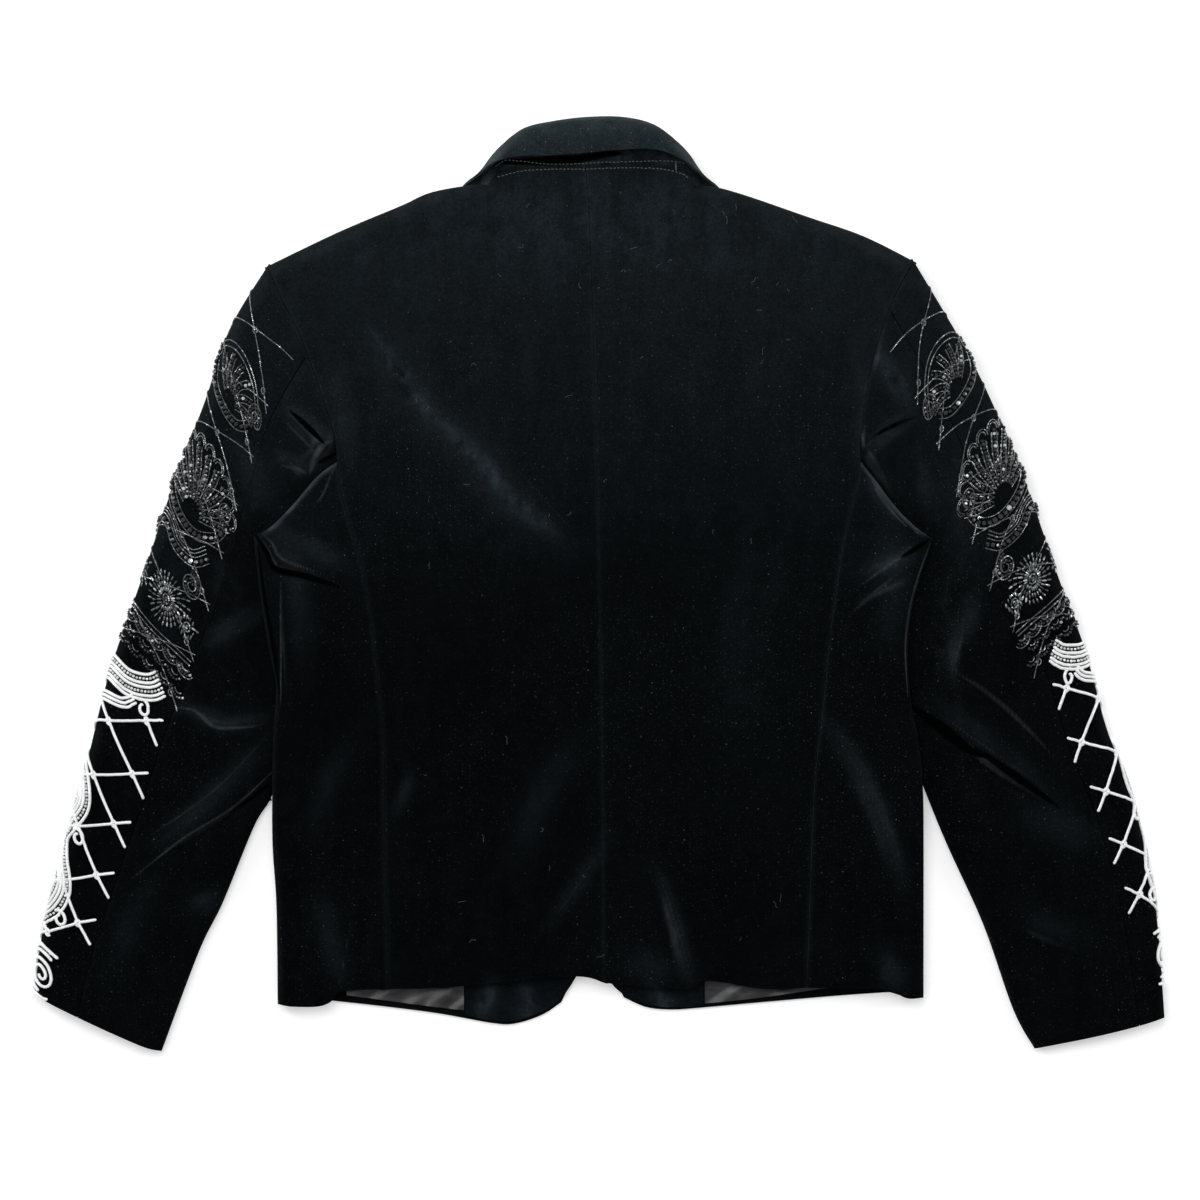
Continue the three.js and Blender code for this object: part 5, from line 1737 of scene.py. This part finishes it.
class BLAZER_OT_sleeves(bpy.types.Operator):
    """Upper and under sleeves of both arms"""

    bl_idname = "blazer.sleeves"
    bl_label = "Sleeves"

    def execute(self, context):
        for side, half in HALVES.items():
            tube = sleeve(half)
            rims = [tube.turning, tube.inner, tube.cuff]
            lie = {"nap_and_highlights": SLEEVE_NAP_AND_HIGHLIGHTS, "least": 0.01, "rims": rims, "part": "sleeve"}
            back, front, gap = around_at(half["back_seam"]), 2 - around_at(FRONT_SEAM), 0.0012
            down = spread(0.6 / LENGTH, 1, steps_for(LENGTH))
            for part, start, end in (
                ("upper", front - 2 + gap, back - gap),
                ("under", back + gap, front - gap),
            ):
                points = tube.points(*grid(spread(start, end, steps_for(230)), down))
                # The top edge is tucked down on the upper face and up on the lower one.
                drop = TUCKED * np.clip(2 * points[0, :, 2] / points[0, :, 2].max() - 1, -1, 1)
                points = allowance(points.transpose(1, 0, 2), drop).transpose(1, 0, 2)
                panel(f"velvet_{part}_sleeve_{side}", points, ["studio_floor"], **lie)
        return {"FINISHED"}


class BLAZER_OT_collar(bpy.types.Operator):
    """The collar's fall, folded over its stand"""

    bl_idname = "blazer.collar"
    bl_label = "Collar"

    def execute(self, context):
        panel(
            "velvet_collar_fall", collar_points(), ["velvet_collar_stand"], (0, 0.6, 1), "even", least=0.95,
        )
        backs = [f"velvet_back_{side}" for side in HALVES]
        panel("velvet_collar_stand", stand_points(), backs, UP, least=0.45, part="stand")
        return {"FINISHED"}


class BLAZER_OT_lapels(bpy.types.Operator):
    """Two lapels, turned out and lying under the fronts"""

    bl_idname = "blazer.lapels"
    bl_label = "Lapels"

    def execute(self, context):
        for side, half in HALVES.items():
            panel(f"velvet_lapel_{side}", lapel_points(half), ["studio_floor"], UP)
        return {"FINISHED"}


class BLAZER_OT_insides(bpy.types.Operator):
    """Facings and linings where they show inside the hem"""

    bl_idname = "blazer.insides"
    bl_label = "Facings and linings"

    def execute(self, context):
        for side, half in HALVES.items():
            below = [f"front_{side}"]
            cut = strip_points(half, facing_plan(half), 5, 0.9)
            panel(f"velvet_facing_{side}", cut, below, UP, "brushed_and_highlit", thin=True, nap_and_highlights=BODY_NAP_AND_HIGHLIGHTS, least=0.2)
            cut = strip_points(half, lining_plan(half), 8, 1.5)
            panel(f"satin_lining_{side}", cut, below, UP, "satin", "lining", thin=True)
        return {"FINISHED"}


class BLAZER_OT_button(bpy.types.Operator):
    """The front button, on the underside"""

    bl_idname = "blazer.button"
    bl_label = "Button"

    def execute(self, context):
        deselect()
        bpy.ops.mesh.primitive_cylinder_add(
            vertices=48, radius=BUTTON["radius"] * MM, depth=BUTTON["height"] * MM,
        )
        obj = bpy.context.object
        obj.name = obj.data.name = "sewn_button"
        place = Vector((BUTTON["x"] + SHIFT[0], BUTTON["y"] + SHIFT[1], BUTTON["height"] / 2)) * MM
        bpy.ops.object.mode_set(mode="EDIT")
        bpy.ops.mesh.select_all(action="SELECT")
        bpy.ops.transform.translate(value=place)
        bpy.ops.object.mode_set(mode="OBJECT")
        edge = obj.modifiers.new("Rounded edge", "BEVEL")
        edge.width = 0.0009
        edge.segments = 3
        bpy.ops.object.modifier_apply(modifier=edge.name)
        bpy.ops.object.shade_smooth_by_angle(angle=math.radians(40))
        obj.data.materials.append(material("button"))
        stand_in(obj, "button", "front_button")
        return {"FINISHED"}


def small_parts(name, parts, finish):
    """One mesh of many small closed parts that lie on the blazer."""
    faces, count = [], 0
    for laid, around in parts:
        faces += [tuple(n + count for n in face) for face in around]
        count += len(laid)
    obj = solid_mesh(name, [laid for laid, _ in parts], faces, finish)
    stand_in(obj, "velvet")


class BLAZER_OT_topstitching(bpy.types.Operator):
    """Two rows of topstitching along the neck seam"""

    bl_idname = "blazer.topstitching"
    bl_label = "Topstitching"

    def execute(self, context):
        luck = np.random.default_rng(12)
        stand = stand_points()
        low, high = stand[:, 0], stand[:, -1]
        level = np.interp(low[:, 0], UPPER_STITCHES["x"], UPPER_STITCHES["y"])
        share = (level - low[:, 1]) / (high[:, 1] - low[:, 1])
        upper = (mix(low, high, np.clip(share, 0.05, 0.6)[:, None]) + np.array([0, 0, 0.4]))[15:-15]
        seam = drawn(LOWER_STITCHES, 200)
        lower = np.column_stack([seam, back_height(*seam.T) + hem_roll(5.0, 1.2, 3) + 0.15])
        parts, upright = [], np.tile([0.0, 0, 1], (4, 1))
        for line in (upper, lower):
            even = evenly(line, 600)
            total = np.linalg.norm(np.diff(even, axis=0), axis=1).sum()
            for k in range(int(total / STITCH_PITCH)):
                i = int((k + 0.5) * STITCH_PITCH / total * 599)
                ahead = even[min(i + 3, 599)] - even[max(i - 3, 0)]
                ahead /= np.linalg.norm(ahead)
                lean = np.array([0, luck.normal(0, 0.12), 0])
                middle = even[i] + np.array([0, luck.normal(0, 0.12), 0])
                spots = np.array([middle + (ahead + lean) * t for t in (-1.05, -0.6, 0.6, 1.05)])
                spots[[0, 3], 2] -= 0.25
                parts.append(strand(spots, np.array([0.15, 0.42, 0.42, 0.15]), upright, 5))
        # The bar tack
        for x, y in ((60.2, 333.5), (60.9, 332.5)):
            spots = np.array([(x, y + t, 26.2 - abs(t) * 0.12) for t in (-3, -1.5, 1.5, 3)])
            parts.append(strand(spots, np.array([0.15, 0.3, 0.3, 0.15]), upright, 5))
        small_parts("neck_topstitching", parts, "thread")
        return {"FINISHED"}


class BLAZER_OT_hairs(bpy.types.Operator):
    """Loose hairs and fibres caught on the pile"""

    bl_idname = "blazer.hairs"
    bl_label = "Hairs"

    def execute(self, context):
        luck = np.random.default_rng(77)
        parts = []
        for _ in range(46):
            x, y = luck.uniform(-165, 160), 300 - 600 * luck.random() ** 1.4
            turn, length = luck.uniform(0, 2 * np.pi), luck.uniform(3, 9)
            bends = turn + np.cumsum(luck.normal(0, 0.55, 8))
            spots = np.cumsum(np.stack([np.cos(bends), np.sin(bends)], 1) * length / 8, axis=0) + (x, y)
            laid = np.column_stack([spots, back_height(*spots.T) + 0.25])
            radii = np.full(8, luck.uniform(0.07, 0.13))
            parts.append(strand(laid, radii, np.tile([0.0, 0, 1], (8, 1)), 4))
        small_parts("loose_hairs", parts, "lint")
        return {"FINISHED"}


class BLAZER_OT_black_beads(bpy.types.Operator):
    """Jet beadwork on the upper part of both sleeves"""

    bl_idname = "blazer.black_beads"
    bl_label = "Black beadwork"

    def execute(self, context):
        beadwork("black", black_design, 31, "jet", "black_fan")
        return {"FINISHED"}


class BLAZER_OT_white_beads(bpy.types.Operator):
    """White bead and cord work on the lower part of both sleeves"""

    bl_idname = "blazer.white_beads"
    bl_label = "White beadwork"

    def execute(self, context):
        beadwork("white", white_design, 51, "white", "white_crescent")
        return {"FINISHED"}


class BLAZER_OT_stage(bpy.types.Operator):
    """Floor, camera and soft lights"""

    bl_idname = "blazer.stage"
    bl_label = "Stage"

    def execute(self, context):
        stage = context.scene.blazer_stage
        deselect()
        bpy.ops.mesh.primitive_plane_add(size=8, location=(0, 0, 0))
        floor = bpy.context.object
        floor.name = "studio_floor"
        bpy.ops.object.mode_set(mode="EDIT")
        bpy.ops.mesh.select_all(action="SELECT")
        bpy.ops.transform.translate(value=(0, 0, -0.0006))
        bpy.ops.object.mode_set(mode="OBJECT")
        paper, tree, shader = bare_material("Studio floor")
        tree.fill(shader, {
            "Base Color": solid(stage.floor),
            "Roughness": 0.9,
            "Emission Color": (1, 1, 1, 1),
            "Emission Strength": 0.35,
        })
        floor.data.materials.append(paper)

        middle = Vector((SHIFT[0] * MM, (-12.8 + SHIFT[1]) * MM, 0))
        bpy.ops.object.camera_add(location=middle + Vector((0, 0, stage.camera_height)), rotation=(0, 0, 0))
        camera = bpy.context.object
        camera.data.sensor_width = 36
        camera.data.lens = 36 * (stage.camera_height - 0.012) / stage.view_width
        camera.data.clip_end = 60
        context.scene.camera = camera

        for name, power, place, extent in (
            ("Soft overhead light", stage.key, (-0.5, 0.9, 2.7), (2.4, 1.6)),
            ("Raking light, left", stage.rake, (-2.2, 1.5, 1.0), (0.8, 1.4)),
            ("Raking light, right", stage.rake * 0.55, (2.4, 0.6, 1.0), (0.8, 1.4)),
        ):
            bpy.ops.object.light_add(type="AREA", location=place)
            light = bpy.context.object
            light.name = name
            light.data.energy = power
            light.data.shape = "RECTANGLE"
            light.data.size, light.data.size_y = extent
            light.rotation_euler = (-Vector(place)).to_track_quat("-Z", "Y").to_euler()
        world = context.scene.world or bpy.data.worlds.new("Studio")
        context.scene.world = world
        world.use_nodes = True
        background = next(n for n in world.node_tree.nodes if n.type == "BACKGROUND")
        background.inputs["Color"].default_value = (1, 1, 1, 1)
        background.inputs["Strength"].default_value = stage.daylight
        context.scene.view_settings.view_transform = "Standard"
        return {"FINISHED"}


class BLAZER_PT_panel(bpy.types.Panel):
    """The blazer's settings and pieces"""

    bl_idname = "BLAZER_PT_panel"
    bl_label = "Beaded velvet blazer"
    bl_space_type = "VIEW_3D"
    bl_region_type = "UI"
    bl_category = "Blazer"

    def draw(self, context):
        layout = self.layout
        for group in ("blazer_cloth", "blazer_colours", "blazer_stage"):
            box = layout.box()
            settings = getattr(context.scene, group)
            for key in settings.__annotations__:
                box.prop(settings, key)
        for operator in OPERATORS:
            layout.operator(operator.bl_idname)


OPERATORS = (
    BLAZER_OT_stage,
    BLAZER_OT_backs,
    BLAZER_OT_sides,
    BLAZER_OT_fronts,
    BLAZER_OT_sleeves,
    BLAZER_OT_collar,
    BLAZER_OT_lapels,
    BLAZER_OT_insides,
    BLAZER_OT_button,
    BLAZER_OT_topstitching,
    BLAZER_OT_hairs,
    BLAZER_OT_black_beads,
    BLAZER_OT_white_beads,
)
GROUPS = {"blazer_cloth": BlazerCloth, "blazer_colours": BlazerColours, "blazer_stage": BlazerStage}


def register():
    for kind in (*GROUPS.values(), *OPERATORS, BLAZER_PT_panel):
        bpy.utils.register_class(kind)
    for name, kind in GROUPS.items():
        setattr(bpy.types.Scene, name, bpy.props.PointerProperty(type=kind))


def unregister():
    for name in GROUPS:
        delattr(bpy.types.Scene, name)
    for kind in (BLAZER_PT_panel, *reversed(OPERATORS), *reversed(GROUPS.values())):
        bpy.utils.unregister_class(kind)


def main():
    register()
    for operator in OPERATORS:
        family, name = operator.bl_idname.split(".")
        getattr(getattr(bpy.ops, family), name)()


if __name__ == "__main__":
    main()
